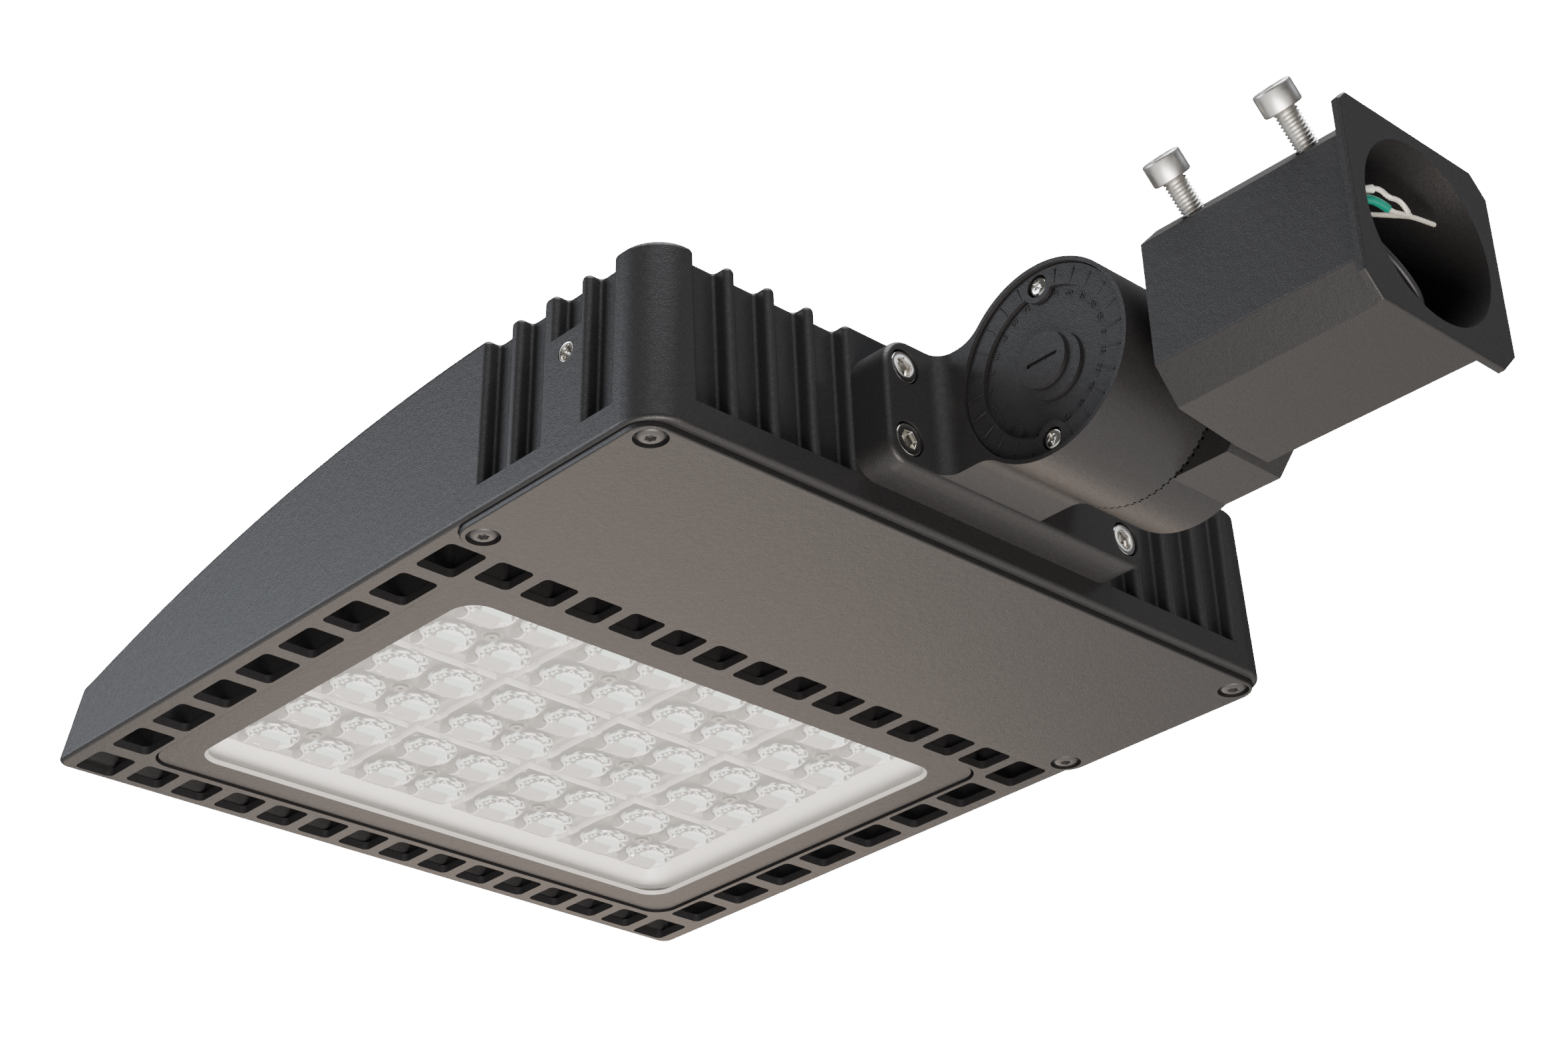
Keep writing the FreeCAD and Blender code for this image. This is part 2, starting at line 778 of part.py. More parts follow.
# Bracket, knuckle and cap

def knuckle_disc(r, x0, x1):
    return rod(r, Vector(x0, knuckle_y, knuckle_z), Vector(x1, knuckle_y, knuckle_z))


def teeth(face_x, first_step):
    """V notches round the joint face's rim, one for each step of tilt."""
    half = tooth_share * math.pi * knuckle_radius / tooth_count
    inner = knuckle_radius - tooth_length
    outer = knuckle_radius + past
    notches = []
    run_out = tooth_depth * tooth_run_out
    profile = [Vector(-tooth_depth, inner, 0), Vector(run_out, inner, half),
               Vector(tooth_depth, inner, 0), Vector(run_out, inner, -half)]
    wedge = polygon(profile).extrude(REAR * (outer - inner))
    for index in range(tooth_count):
        notch = wedge.copy()
        notch.rotate(Vector(0, 0, 0), LEFT, 360.0 * (index + first_step) / tooth_count)
        notches.append(notch.translated(Vector(face_x, knuckle_y, knuckle_z)))
    return notches


def flange_plate(half_x, z0, z1, low_r, high_r, y0, y1):
    """A plate that stands across y, with rounded corners low and high."""
    flat = outline(half_x, z0, z1, low_r, high_r, 0)
    plate = Part.Face(flat).extrude(UP * (y1 - y0))
    plate.rotate(Vector(0, 0, 0), LEFT, 90)
    return plate.translated(Vector(0, y1, 0))


def disc_blend(level, side):
    """An arc that leaves a level line of the neck's profile and meets the knuckle's round:
    its start, its middle and its end. side is 1 over the neck and -1 under it."""
    middle = Vector(0, knuckle_y, knuckle_z)
    reach = knuckle_radius + neck_blend
    height = level + side * neck_blend - knuckle_z
    centre = middle + Vector(0, -math.sqrt(reach ** 2 - height ** 2), height)
    start = Vector(0, centre.y, level)
    end = middle + (centre - middle) * (knuckle_radius / reach)
    inward = ((start - centre) + (end - centre)).normalize()
    return start, centre + inward * neck_blend, end


def neck_form():
    """The neck from the flange to the knuckle, drawn in side view."""
    root = flange_thickness - neck_sink
    high = flange_top - neck_drop
    low = flange_bottom + neck_drop
    top = disc_blend(high, 1)
    under = disc_blend(low, -1)
    middle = Vector(0, knuckle_y, knuckle_z)
    edges = [Part.LineSegment(Vector(0, root, low), Vector(0, root, high)),
             Part.LineSegment(Vector(0, root, high), top[0]),
             Part.Arc(*top),
             Part.LineSegment(top[2], middle),
             Part.LineSegment(middle, under[2]),
             Part.Arc(under[2], under[1], under[0]),
             Part.LineSegment(under[0], Vector(0, root, low))]
    side = Part.Face(Part.Wire([edge.toShape() for edge in edges]))
    neck = side.extrude(LEFT * (knuckle_left - joint_x)).translated(Vector(joint_x, 0, 0))
    foot_x = knuckle_left + neck_round
    foot_y = flange_thickness + neck_round
    foot = box(knuckle_left - past, foot_x, flange_thickness - past, foot_y, low, high)
    return neck.fuse(foot.cut(rod(neck_round, Vector(foot_x, foot_y, low - past),
                                  Vector(foot_x, foot_y, high + past))))


def make_bracket():
    flange = flange_plate(flange_half_x, flange_bottom, flange_top, flange_low_corner,
                          flange_high_corner, 0, flange_thickness)
    front = [e for e in flange.Edges if e.BoundBox.YMin > flange_thickness - 1e-4]
    flange = flange.makeFillet(flange_edge, front)
    body = flange.fuse([neck_form(), knuckle_disc(knuckle_radius, joint_x, knuckle_left)])
    cuts = [knuckle_disc(chamber_radius, joint_x - past, bracket_web_x),
            knuckle_disc(chamber_radius, bracket_web_x + knuckle_web, knuckle_left + past),
            knuckle_disc(knuckle_radius - cap_rim, cap_seat_x, knuckle_left + past),
            knuckle_disc(M10_CAP[0] + hole_play, joint_x - past, knuckle_left + past),
            rod(wire_radius, Vector(wire_x, -past, wire_z), Vector(wire_x, wire_hole_y, wire_z)),
            flange_plate(flange_half_x - flange_seal_inset, flange_bottom + flange_seal_inset,
                         flange_top - flange_seal_inset, flange_seal_corner,
                         flange_seal_corner, -past, flange_seal)]
    for x, z in bolt_places():
        cuts.append(rod(M6_BUTTON[0] + hole_play, Vector(x, -past, z),
                        Vector(x, flange_thickness + past, z)))
        cuts.append(rod(bolt_cup / 2, Vector(x, flange_thickness - bolt_cup_depth, z),
                        Vector(x, flange_thickness + past, z)))
    for y, z in cap_screw_places():
        cuts.append(rod(M4_PAN[0] + running_play, Vector(cap_seat_x - cap_screw_depth, y, z),
                        Vector(cap_seat_x + past, y, z)))
    body = body.cut(cuts).cut(teeth(joint_x, 0.0))
    node("bracket", body.removeSplitter())

    seal = flange_plate(flange_half_x - flange_seal_inset - running_play,
                        flange_bottom + flange_seal_inset + running_play,
                        flange_top - flange_seal_inset - running_play, flange_seal_corner,
                        flange_seal_corner, 0, flange_seal)
    through = flange_seal + past
    seal = seal.cut([rod(M6_BUTTON[0] + hole_play, Vector(x, -past, z), Vector(x, through, z))
                     for x, z in bolt_places()])
    seal = seal.cut(rod(wire_radius, Vector(wire_x, -past, wire_z),
                        Vector(wire_x, through, wire_z)))
    node("bracket_seal", seal)
    seat = flange_thickness - bolt_cup_depth
    node("bracket_screws", *[screw(M6_BUTTON, bolt_length, Vector(x, seat, z), -REAR, domed=True)
                             for x, z in bolt_places()])
    start = box_rear_y - grommet_plate
    collar = rod(wire_radius + grommet_collar, Vector(wire_x, start, wire_z),
                 Vector(wire_x, box_rear_y, wire_z))
    sleeve = rod(wire_radius - running_play, Vector(wire_x, start, wire_z),
                 Vector(wire_x, 0, wire_z))
    passage = rod(wire_radius - grommet_wall, Vector(wire_x, start - past, wire_z),
                  Vector(wire_x, past, wire_z))
    node("lead_grommet", collar.fuse(sleeve).cut(passage).removeSplitter())


def cap_screw_places():
    return [(knuckle_y, knuckle_z + side * cap_screw_radius) for side in (1, -1)]


def make_cap():
    face = cap_seat_x + cap_thickness
    floor = face - dial_depth
    step = floor + disc_height
    top = step + knob_height
    seat = face - M4_PAN[2]
    cap = knuckle_disc(cap_radius, cap_seat_x, face)
    cap = cap.cut(knuckle_disc(dial_radius, floor, face + past))
    bosses = [rod(boss_ring, Vector(floor - past, y, z), Vector(face, y, z))
              for y, z in cap_screw_places()]
    disc = knuckle_disc(disc_radius, floor - past, step)
    cap = cap.fuse([boss.common(knuckle_disc(cap_radius, cap_seat_x, face)) for boss in bosses])
    cap = cap.fuse([disc.translated(Vector(0, *disc_offset)),
                    knuckle_disc(knob_radius, floor - past, top)])
    half = mark_width / 2
    cuts = [box(top - mark_depth, top + past, knuckle_y - mark_length / 2,
                knuckle_y + mark_length / 2, knuckle_z - half, knuckle_z + half)]
    for y, z in cap_screw_places():
        cuts.append(rod(M4_PAN[0] + hole_play, Vector(cap_seat_x - past, y, z),
                        Vector(face, y, z)))
        cuts.append(rod(M4_PAN[1] + hole_play, Vector(seat, y, z), Vector(face + past, y, z)))
    node("protractor_cap", cap.cut(cuts).removeSplitter())
    node("cap_screws", *[screw(M4_PAN, cap_screw_length, Vector(seat, y, z), -LEFT, domed=True)
                         for y, z in cap_screw_places()])


def make_pivot():
    bolt_end = nut_seat_x + nut_height + bolt_past_nut
    node("pivot_bolt", screw(M10_CAP, bolt_end - slip_web_x,
                             Vector(slip_web_x, knuckle_y, knuckle_z), LEFT))
    washer = knuckle_disc(washer_radius, bracket_web_x + knuckle_web, nut_seat_x)
    node("pivot_washer", washer.cut(knuckle_disc(M10_CAP[0] + hole_play, bracket_web_x,
                                                 nut_seat_x + past)))
    points = [Vector(nut_seat_x, knuckle_y + nut_corner_radius * math.cos(a),
                     knuckle_z + nut_corner_radius * math.sin(a))
              for a in [math.radians(60 * k) for k in range(6)]]
    nut = polygon(points).extrude(LEFT * nut_height)
    node("pivot_nut", nut.cut(knuckle_disc(M10_CAP[0] + running_play, bracket_web_x,
                                           nut_seat_x + nut_height + past)))


# Slipfitter and its clamp screws

def octagon(half_x, half_z, cut, cap_cut, y0, y1):
    """An eight-sided bar along the socket's axis; cap_cut is its chamfer for the screws."""
    x, z = half_x, half_z
    corners = [(x, z - cap_cut), (x - cap_cut, z), (cut - x, z), (-x, z - cut),
               (-x, cut - z), (cut - x, -z), (x - cut, -z), (x, cut - z)]
    return polygon([Vector(a, y0, knuckle_z + b) for a, b in corners]).extrude(REAR * (y1 - y0))


def leaning_front():
    """What the socket's front wall, which leans away from the knuckle, leaves free."""
    far = socket_half_x + past
    slope = front_lean / (socket_half_x - slip_face_x)
    start = socket_front - past
    low = knuckle_z - socket_half_z - past
    corners = [Vector(slip_face_x, start, low), Vector(slip_face_x, socket_front, low),
               Vector(far, socket_front + slope * (far - slip_face_x), low),
               Vector(far, start, low)]
    return polygon(corners).extrude(UP * (2 * socket_half_z + 2 * past))


def knuckle_arm():
    """The arm from the knuckle's turning half to the socket, bevelled where it ends."""
    high = knuckle_z + socket_half_z
    low = knuckle_z - socket_half_z
    bevel = arm_end - arm_bevel
    side = [Vector(knuckle_right, knuckle_y, low), Vector(knuckle_right, bevel, low),
            Vector(knuckle_right, arm_end, low + socket_chamfer),
            Vector(knuckle_right, arm_end, high - socket_chamfer),
            Vector(knuckle_right, bevel, high), Vector(knuckle_right, knuckle_y, high)]
    return polygon(side).extrude(LEFT * (slip_face_x - knuckle_right))


def clamp_axis(y):
    """Start on the socket's axis, and the direction out through the upper chamfer."""
    return Vector(0, y, knuckle_z), Vector(1, 0, 1).normalize()


def make_slipfitter():
    shell = octagon(socket_half_x, socket_half_z, socket_chamfer, socket_chamfer, socket_front,
                    socket_end + past)
    long_edges = [e for e in shell.Edges if e.Length > socket_end - socket_front]
    shell = shell.makeFillet(socket_edge, long_edges).cut(leaning_front())
    end_flange = octagon(end_flange_half_x, end_flange_half_z, end_flange_chamfer,
                         end_flange_cap_chamfer, socket_end, socket_mouth)
    rim = [e for e in end_flange.Edges if e.BoundBox.YMin > socket_mouth - 1e-4]
    end_flange = end_flange.makeFillet(end_flange_edge, rim)
    body = shell.fuse([knuckle_arm(), knuckle_disc(knuckle_radius, knuckle_right, slip_face_x),
                       end_flange])
    duct_x = slip_face_x - duct_wall
    half = duct_height / 2
    cuts = [rod(bore_radius, Vector(0, bore_floor, knuckle_z),
                Vector(0, socket_mouth + past, knuckle_z)),
            knuckle_disc(chamber_radius, slip_web_x + knuckle_web, slip_face_x + past),
            knuckle_disc(M10_CAP[0] + running_play, slip_web_x - past, slip_face_x + past),
            knuckle_disc(M10_CAP[1] + pivot_head_room, knuckle_right - past, slip_web_x),
            box(duct_x - duct_width, duct_x, knuckle_y, bore_floor + past, knuckle_z - half,
                knuckle_z + half)]
    for y in clamp_screw_y:
        start, out = clamp_axis(y)
        cuts.append(rod(M8_CAP[0] + running_play, start, start + out * (chamfer_reach + past)))
    body = body.cut(cuts).cut(teeth(slip_face_x, tooth_stagger))
    node("slipfitter", body.removeSplitter())
    names = ("clamp_screw_near", "clamp_screw_far")
    for name, y, stand in zip(names, clamp_screw_y, clamp_head_stand):
        start, out = clamp_axis(y)
        node(name, screw(M8_CAP, clamp_shank, start + out * stand, -out))


# Leads

def tube(points, r):
    """A round tube along straight runs that tangent arcs join, and its tightest radius."""
    edges, tightest = [], None
    last = points[0]
    for before, corner, after in zip(points, points[1:], points[2:]):
        inward, onward = corner - before, after - corner
        run = min(inward.Length, onward.Length)
        half_turn = inward.getAngle(onward) / 2
        reach = lead_bend_share * run
        radius = reach / math.tan(half_turn)
        tightest = radius if tightest is None else min(tightest, radius)
        back = -inward.normalize()
        ahead = onward.normalize()
        start, end = corner + back * reach, corner + ahead * reach
        towards = (back + ahead).normalize()
        middle = corner + towards * (radius / math.cos(half_turn) - radius)
        edges.append(Part.LineSegment(last, start).toShape())
        edges.append(Part.Arc(start, middle, end).toShape())
        last = end
    edges.append(Part.LineSegment(last, points[-1]).toShape())
    path = Part.Wire(edges)
    section = Part.Wire(Part.Circle(points[0], points[1] - points[0], r).toShape())
    return path.makePipeShell([section], True, True), path.Length, tightest


def make_leads():
    ends = []
    for name, (insulated, stripped) in lead_routes.items():
        points = [Vector(x, y, knuckle_z + z) for x, y, z in insulated]
        lead, length, tightest = tube(points, lead_radius)
        share = lead.Volume / (math.pi * lead_radius ** 2 * length)
        print("%s: %.1f mm long, tightest bend %.1f mm, volume share %.4f"
              % (name, length, tightest, share))
        node(name, lead)
        end, length, tightest = tube([Vector(x, y, knuckle_z + z) for x, y, z in stripped],
                                     strand_radius)
        share = end.Volume / (math.pi * strand_radius ** 2 * length)
        print("  its end: %.1f mm long, tightest bend %.1f mm, volume share %.4f"
              % (length, tightest, share))
        ends.append(end)
    node("lead_ends", *ends)


def make_duct_grommet():
    """The rubber block that closes the slipfitter's lead duct round the three leads."""
    duct_x = slip_face_x - duct_wall
    half = duct_height / 2 - running_play
    block = box(duct_x - duct_width + running_play, duct_x - running_play,
                bore_floor - duct_grommet_length, bore_floor, knuckle_z - half, knuckle_z + half)
    holes = []
    for insulated, _ in lead_routes.values():
        (x0, y0, z0), (x1, y1, z1) = insulated[:2]
        holes.append(rod(lead_radius + running_play, Vector(x0, y0, knuckle_z + z0),
                         Vector(x1, y1, knuckle_z + z1)))
    node("duct_grommet", block.cut(holes))


def write_pieces():
    """Moves every piece so that the socket's mouth is the origin, and writes its file."""
    os.makedirs("parts", exist_ok=True)
    place = Vector(0, -socket_mouth, -knuckle_z)
    for name, shapes in PIECES.items():
        solids = [s.translated(place) for shape in shapes for s in shape.Solids]
        whole = solids[0] if len(solids) == 1 else Part.makeCompound(solids)
        whole.exportStep("parts/%s.step" % name)
        volume = sum(s.Volume for s in solids)
        print("%-20s %2d solid(s) %10.0f mm3" % (name, len(solids), volume))


node("housing", make_housing())
make_window()
make_tray()
make_board()
make_lens_modules()
make_driver_box()
make_inserts()
make_bracket()
make_cap()
make_pivot()
make_slipfitter()
make_duct_grommet()
make_leads()
write_pieces()
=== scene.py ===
# %% [markdown]
# # A street light head
# The solids of this lamp are already built: castings, a glass pane, lenses, screws and a socket
# for the pole. This lesson gives them their surfaces and adds what a solid leaves out. The
# first cell loads the solids as a fixed frame. They are never moved, so all that follows takes
# its place from them.

# %% Load the frame
import math
import random

import bpy
from mathutils import Matrix, Vector


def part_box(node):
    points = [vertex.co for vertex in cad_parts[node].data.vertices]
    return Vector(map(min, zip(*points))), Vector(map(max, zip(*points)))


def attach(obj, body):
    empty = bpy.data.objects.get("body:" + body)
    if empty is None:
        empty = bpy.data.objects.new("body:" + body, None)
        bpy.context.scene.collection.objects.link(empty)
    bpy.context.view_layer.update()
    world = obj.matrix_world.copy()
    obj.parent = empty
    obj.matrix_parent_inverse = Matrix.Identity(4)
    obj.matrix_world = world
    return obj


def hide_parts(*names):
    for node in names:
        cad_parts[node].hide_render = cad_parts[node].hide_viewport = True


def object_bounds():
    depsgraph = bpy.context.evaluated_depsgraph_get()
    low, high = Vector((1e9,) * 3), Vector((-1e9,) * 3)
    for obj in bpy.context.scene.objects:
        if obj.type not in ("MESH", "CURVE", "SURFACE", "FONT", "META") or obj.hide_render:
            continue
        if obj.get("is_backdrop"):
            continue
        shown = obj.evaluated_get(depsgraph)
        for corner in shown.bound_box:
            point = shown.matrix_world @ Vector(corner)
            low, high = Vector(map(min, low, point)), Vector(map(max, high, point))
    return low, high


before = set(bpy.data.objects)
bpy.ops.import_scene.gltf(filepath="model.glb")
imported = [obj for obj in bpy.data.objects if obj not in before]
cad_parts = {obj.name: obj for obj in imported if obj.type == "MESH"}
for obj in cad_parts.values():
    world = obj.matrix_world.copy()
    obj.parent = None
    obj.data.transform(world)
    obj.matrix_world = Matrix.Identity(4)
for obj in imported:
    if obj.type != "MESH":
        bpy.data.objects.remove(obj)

MM = 0.001
bpy.ops.object.select_all(action="DESELECT")
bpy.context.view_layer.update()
print("the frame has %d pieces" % len(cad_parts))

# %% [markdown]
# ## Camera
# The photograph looks up at the lamp from below and behind, so that its window, its driver
# cover and the socket's mouth all show. The camera's place was worked out from the vents,
# which stand in a square grid. A camera is easiest to read as an eye, a point that it looks
# at, and a small roll about the line between them.

# %% Camera
eye = Vector((0.6652, 0.3874, -0.4967))
looks_at = Vector((0.1070, -0.1698, -0.0632))
camera_roll = math.radians(-2.73)
focal_length = 68.81
sensor_width = 36.0

camera_data = bpy.data.cameras.new("portrait_camera")
camera_data.lens = focal_length
camera_data.sensor_width = sensor_width
camera = bpy.data.objects.new("portrait_camera", camera_data)
bpy.context.scene.collection.objects.link(camera)
camera.rotation_mode = "QUATERNION"
aim = (looks_at - eye).to_track_quat("-Z", "Y")
camera.rotation_quaternion = aim @ Matrix.Rotation(camera_roll, 3, "Z").to_quaternion()
camera.location = eye
bpy.context.scene.camera = camera
print("the camera stands %.3f m from what it looks at" % (looks_at - eye).length)

# %% [markdown]
# ## Materials
# Every material here is made of nodes, and each has its grain at its real size. One metre is
# one unit, so a noise texture with a scale of 2500 has a feature about every 0.4 mm. The
# patterns read Object coordinates, which stay with the piece when it moves.

# %% A helper for materials
def new_material(name, colour, roughness, metallic=0.0):
    """A named material with its Principled shader, ready for more nodes."""
    material = bpy.data.materials.new(name)
    material.use_nodes = True
    shader = material.node_tree.nodes["Principled BSDF"]
    shader.inputs["Base Color"].default_value = (*colour, 1.0)
    shader.inputs["Roughness"].default_value = roughness
    shader.inputs["Metallic"].default_value = metallic
    return material


def noise(material, scale, detail=2.0, stretch=(1.0, 1.0, 1.0)):
    """A noise texture on Object coordinates; its Fac output is returned."""
    nodes, links = material.node_tree.nodes, material.node_tree.links
    where = nodes.new("ShaderNodeTexCoord")
    mapping = nodes.new("ShaderNodeMapping")
    mapping.inputs["Scale"].default_value = stretch
    texture = nodes.new("ShaderNodeTexNoise")
    texture.inputs["Scale"].default_value = scale
    texture.inputs["Detail"].default_value = detail
    links.new(where.outputs["Object"], mapping.inputs["Vector"])
    links.new(mapping.outputs["Vector"], texture.inputs["Vector"])
    return texture.outputs["Fac"]


def vary(material, socket, factor, low, high):
    """Lets a number or a colour of the shader wander between low and high with a texture."""
    nodes, links = material.node_tree.nodes, material.node_tree.links
    if isinstance(low, tuple):
        ramp = nodes.new("ShaderNodeMix")
        ramp.data_type = "RGBA"
        ramp.inputs["A"].default_value = (*low, 1.0)
        ramp.inputs["B"].default_value = (*high, 1.0)
        links.new(factor, ramp.inputs["Factor"])
    else:
        ramp = nodes.new("ShaderNodeMapRange")
        ramp.inputs["To Min"].default_value = low
        ramp.inputs["To Max"].default_value = high
        links.new(factor, ramp.inputs["Value"])
    links.new(ramp.outputs["Result"], nodes["Principled BSDF"].inputs[socket])


def grain(material, layers):
    """Bumps the surface with several textures, each a (height, depth in metres) pair."""
    nodes, links = material.node_tree.nodes, material.node_tree.links
    normal = None
    for height, depth in layers:
        bump = nodes.new("ShaderNodeBump")
        bump.inputs["Distance"].default_value = depth
        links.new(height, bump.inputs["Height"])
        if normal is not None:
            links.new(normal, bump.inputs["Normal"])
        normal = bump.outputs["Normal"]
    links.new(normal, nodes["Principled BSDF"].inputs["Normal"])


# %% [markdown]
# ## Selecting one piece
# Blender's operators act on whatever is selected, and the loaded frame comes selected whole. So
# every step that follows first picks the one piece that it works on.

# %% Helpers for new pieces
def only(piece):
    """Selects a piece, and nothing else."""
    bpy.ops.object.select_all(action="DESELECT")
    piece.select_set(True)
    bpy.context.view_layer.objects.active = piece


def settle(piece):
    """Puts a piece's place, turn and scale into its mesh, and its object at the origin."""
    only(piece)
    bpy.ops.object.transform_apply(location=True, rotation=True, scale=True)


def enlist(piece, name, material, body, *solids):
    """Names and dresses a piece, says what it rides on and which solids it stands for."""
    piece.name = name
    piece.data.name = name
    if material is not None:
        piece.data.materials.clear()
        piece.data.materials.append(material)
    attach(piece, body)
    if solids:
        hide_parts(*solids)


# %% [markdown]
# ## The leads in the socket
# Three supply leads come out of the knuckle's duct and wait in the socket with bared ends. A
# lead is a fixed length of soft cable, so it is made as a curve: a NURBS spline takes the
# route's points as a wire takes bends, smoothly, and a round bevel gives it its thickness. The
# curve's order is set after its points are added, because it falls back to straight runs
# otherwise. The points are in millimetres from the middle of the socket's mouth.

# %% Routes of the leads
lead_diameter = 2.8 * MM
lead_routes = {
    "white": [(-15.6, -81.0, 6.5), (-15.6, -63.0, 6.7), (-13.0, -47.0, 6.3), (-3.0, -35.0, 5.6),
              (9.5, -27.0, 5.0), (21.0, -23.2, 5.0), (26.6, -17.4, 6.0), (26.0, -10.4, 7.4),
              (22.6, -7.4, 8.9), (18.6, -5.3, 10.2)],
    "green": [(-15.6, -81.0, 0.0), (-15.6, -63.0, -0.3), (-12.5, -48.5, 0.0), (-2.0, -37.0, 0.2),
              (10.3, -28.4, 0.3), (21.8, -24.0, 1.0), (27.3, -18.5, 2.4), (27.6, -11.4, 4.2),
              (22.6, -6.4, 5.7), (17.2, -5.0, 6.3), (11.6, -5.5, 6.5)],
    "black": [(-15.6, -81.0, -7.0), (-15.6, -62.5, -7.6), (-13.0, -48.0, -15.0),
              (-9.0, -35.0, -22.0), (-5.0, -22.5, -26.2), (-2.5, -11.5, -27.0),
              (3.5, -4.0, -24.5), (13.0, -2.8, -18.5), (21.0, -4.2, -12.5), (27.0, -6.0, -7.0)],
}
strand_routes = {
    "white": [(18.6, -5.3, 10.2), (16.6, -4.25, 10.85), (13.6, -3.3, 8.2), (9.4, -3.2, 9.5),
              (6.0, -3.2, 8.9), (4.1, -3.2, 6.9)],
    "green": [(11.6, -5.5, 6.5), (8.8, -5.75, 6.6), (5.0, -5.7, 7.6), (-0.4, -5.5, 9.3)],
    "black": [(27.0, -6.0, -7.0), (28.6, -6.48, -5.53), (27.4, -7.6, -2.4), (20.5, -8.0, 1.8),
              (7.0, -8.0, 7.3), (-4.6, -8.0, 12.2), (-11.0, -7.8, 13.4), (-17.6, -8.0, 14.9)],
}


def route_curve(name, points):
    """A smooth NURBS spline through a route, without thickness yet."""
    curve = bpy.data.curves.new(name, "CURVE")
    curve.dimensions = "3D"
    spline = curve.splines.new("NURBS")
    spline.points.add(len(points) - 1)
    for place, (x, y, z) in zip(spline.points, points):
        place.co = (x * MM, y * MM, z * MM, 1.0)
    spline.order_u = 3
    spline.use_endpoint_u = True
    piece = bpy.data.objects.new(name, curve)
    bpy.context.scene.collection.objects.link(piece)
    return piece


# %% [markdown]
# ## Bared strands
# Under the insulation the copper is a rope of fine tinned wires. Each wire is a helix about the
# route, so the route's points are read back from its smooth curve, and six wires are wound
# round a seventh. A frame that is carried along from point to point keeps the winding even.

# %% A twisted strand
wire_count = 6
wire_radius = 0.28 * MM
twist_pitch = 7.0 * MM


def twisted_strand(name, points):
    """Seven fine wires wound along a route, as one mesh."""
    guide = route_curve(name + "_guide", points)
    line = bpy.data.meshes.new_from_object(guide)
    track = [v.co.copy() for v in line.vertices]
    bpy.data.objects.remove(guide)
    bpy.data.meshes.remove(line)
    rope = bpy.data.curves.new(name, "CURVE")
    rope.dimensions = "3D"
    rope.bevel_depth = wire_radius
    rope.bevel_resolution = 1
    rope.use_fill_caps = True
    side = (track[1] - track[0]).orthogonal().normalized()
    frames, run = [], 0.0
    for index, here in enumerate(track):
        ahead = track[min(index + 1, len(track) - 1)] - track[max(index - 1, 0)]
        ahead.normalize()
        side = (side - ahead * side.dot(ahead)).normalized()
        if index:
            run += (here - track[index - 1]).length
        frames.append((here, side.copy(), ahead.cross(side), run))
    for wire in range(wire_count + 1):
        reach = 0.0 if wire == wire_count else 2 * wire_radius
        spline = rope.splines.new("POLY")
        spline.points.add(len(frames) - 1)
        for place, (here, across, up, along) in zip(spline.points, frames):
            angle = 2 * math.pi * (wire / wire_count + along / twist_pitch)
            spot = here + (across * math.cos(angle) + up * math.sin(angle)) * reach
            place.co = (*spot, 1.0)
    piece = bpy.data.objects.new(name, rope)
    bpy.context.scene.collection.objects.link(piece)
    only(piece)
    bpy.ops.object.convert(target="MESH")
    bpy.ops.object.shade_smooth()
    return bpy.context.object


# %% [markdown]
# ## Insulation and tin
# Soft insulation has a dull, even skin, and tinned wire a pale metallic one.

# %% Lead materials
def sleeve(name, colour, light_colour):
    """The smooth plastic insulation of a lead."""
    material = new_material(name, colour, 0.42)
    vary(material, "Base Color", noise(material, 250.0), colour, light_colour)
    grain(material, [(noise(material, 900.0), 0.00002)])
    return material


sleeves = {
    "white": sleeve("white_insulation", (0.72, 0.70, 0.62), (0.80, 0.78, 0.70)),
    "green": sleeve("green_insulation", (0.0, 0.16, 0.11), (0.0, 0.21, 0.14)),
    "black": sleeve("black_insulation", (0.015, 0.015, 0.017), (0.03, 0.03, 0.032)),
}
tinned = new_material("tinned_strands", (0.74, 0.70, 0.62), 0.38, 0.5)
vary(tinned, "Roughness", noise(tinned, 2500.0), 0.3, 0.5)

# %% Make the leads
for colour, points in lead_routes.items():
    strand = twisted_strand("bare_strand_" + colour, strand_routes[colour])
    enlist(strand, "bare_strand_" + colour, tinned, "socket", "lead_ends")
    lead = route_curve("supply_lead_" + colour, points)
    lead.data.bevel_depth = lead_diameter / 2
    lead.data.bevel_resolution = 5
    lead.data.use_fill_caps = True
    enlist(lead, "supply_lead_" + colour, sleeves[colour], "socket", "lead_" + colour)
print("made %d leads with their bared strands" % len(lead_routes))

# %% [markdown]
# ## Floor and background
# The lamp hangs as it does on its pole, so the floor lies well below it and below the camera
# too. Dark powder coat shows hardly any colour of its own: what we see on it is the room. So
# the room is built as in a product studio. The eye sees white all round, but only a dim, even
# light from there falls on the lamp: the Light Path node tells the two apart.

# %% Floor and background
floor_height = -1.5
floor_size = 12.0

bpy.ops.mesh.primitive_plane_add(size=floor_size, location=(0, 0, floor_height))
floor = bpy.context.object
floor.name = "studio_floor"
floor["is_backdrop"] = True
floor_paint = new_material("pale_floor", (0.80, 0.79, 0.77), 0.75)
vary(floor_paint, "Base Color", noise(floor_paint, 3.0), (0.79, 0.78, 0.76), (0.82, 0.81, 0.79))
floor.data.materials.append(floor_paint)

room_light = (1.0, 0.985, 0.97)
room_strength = 0.12
backdrop_strength = 18.0

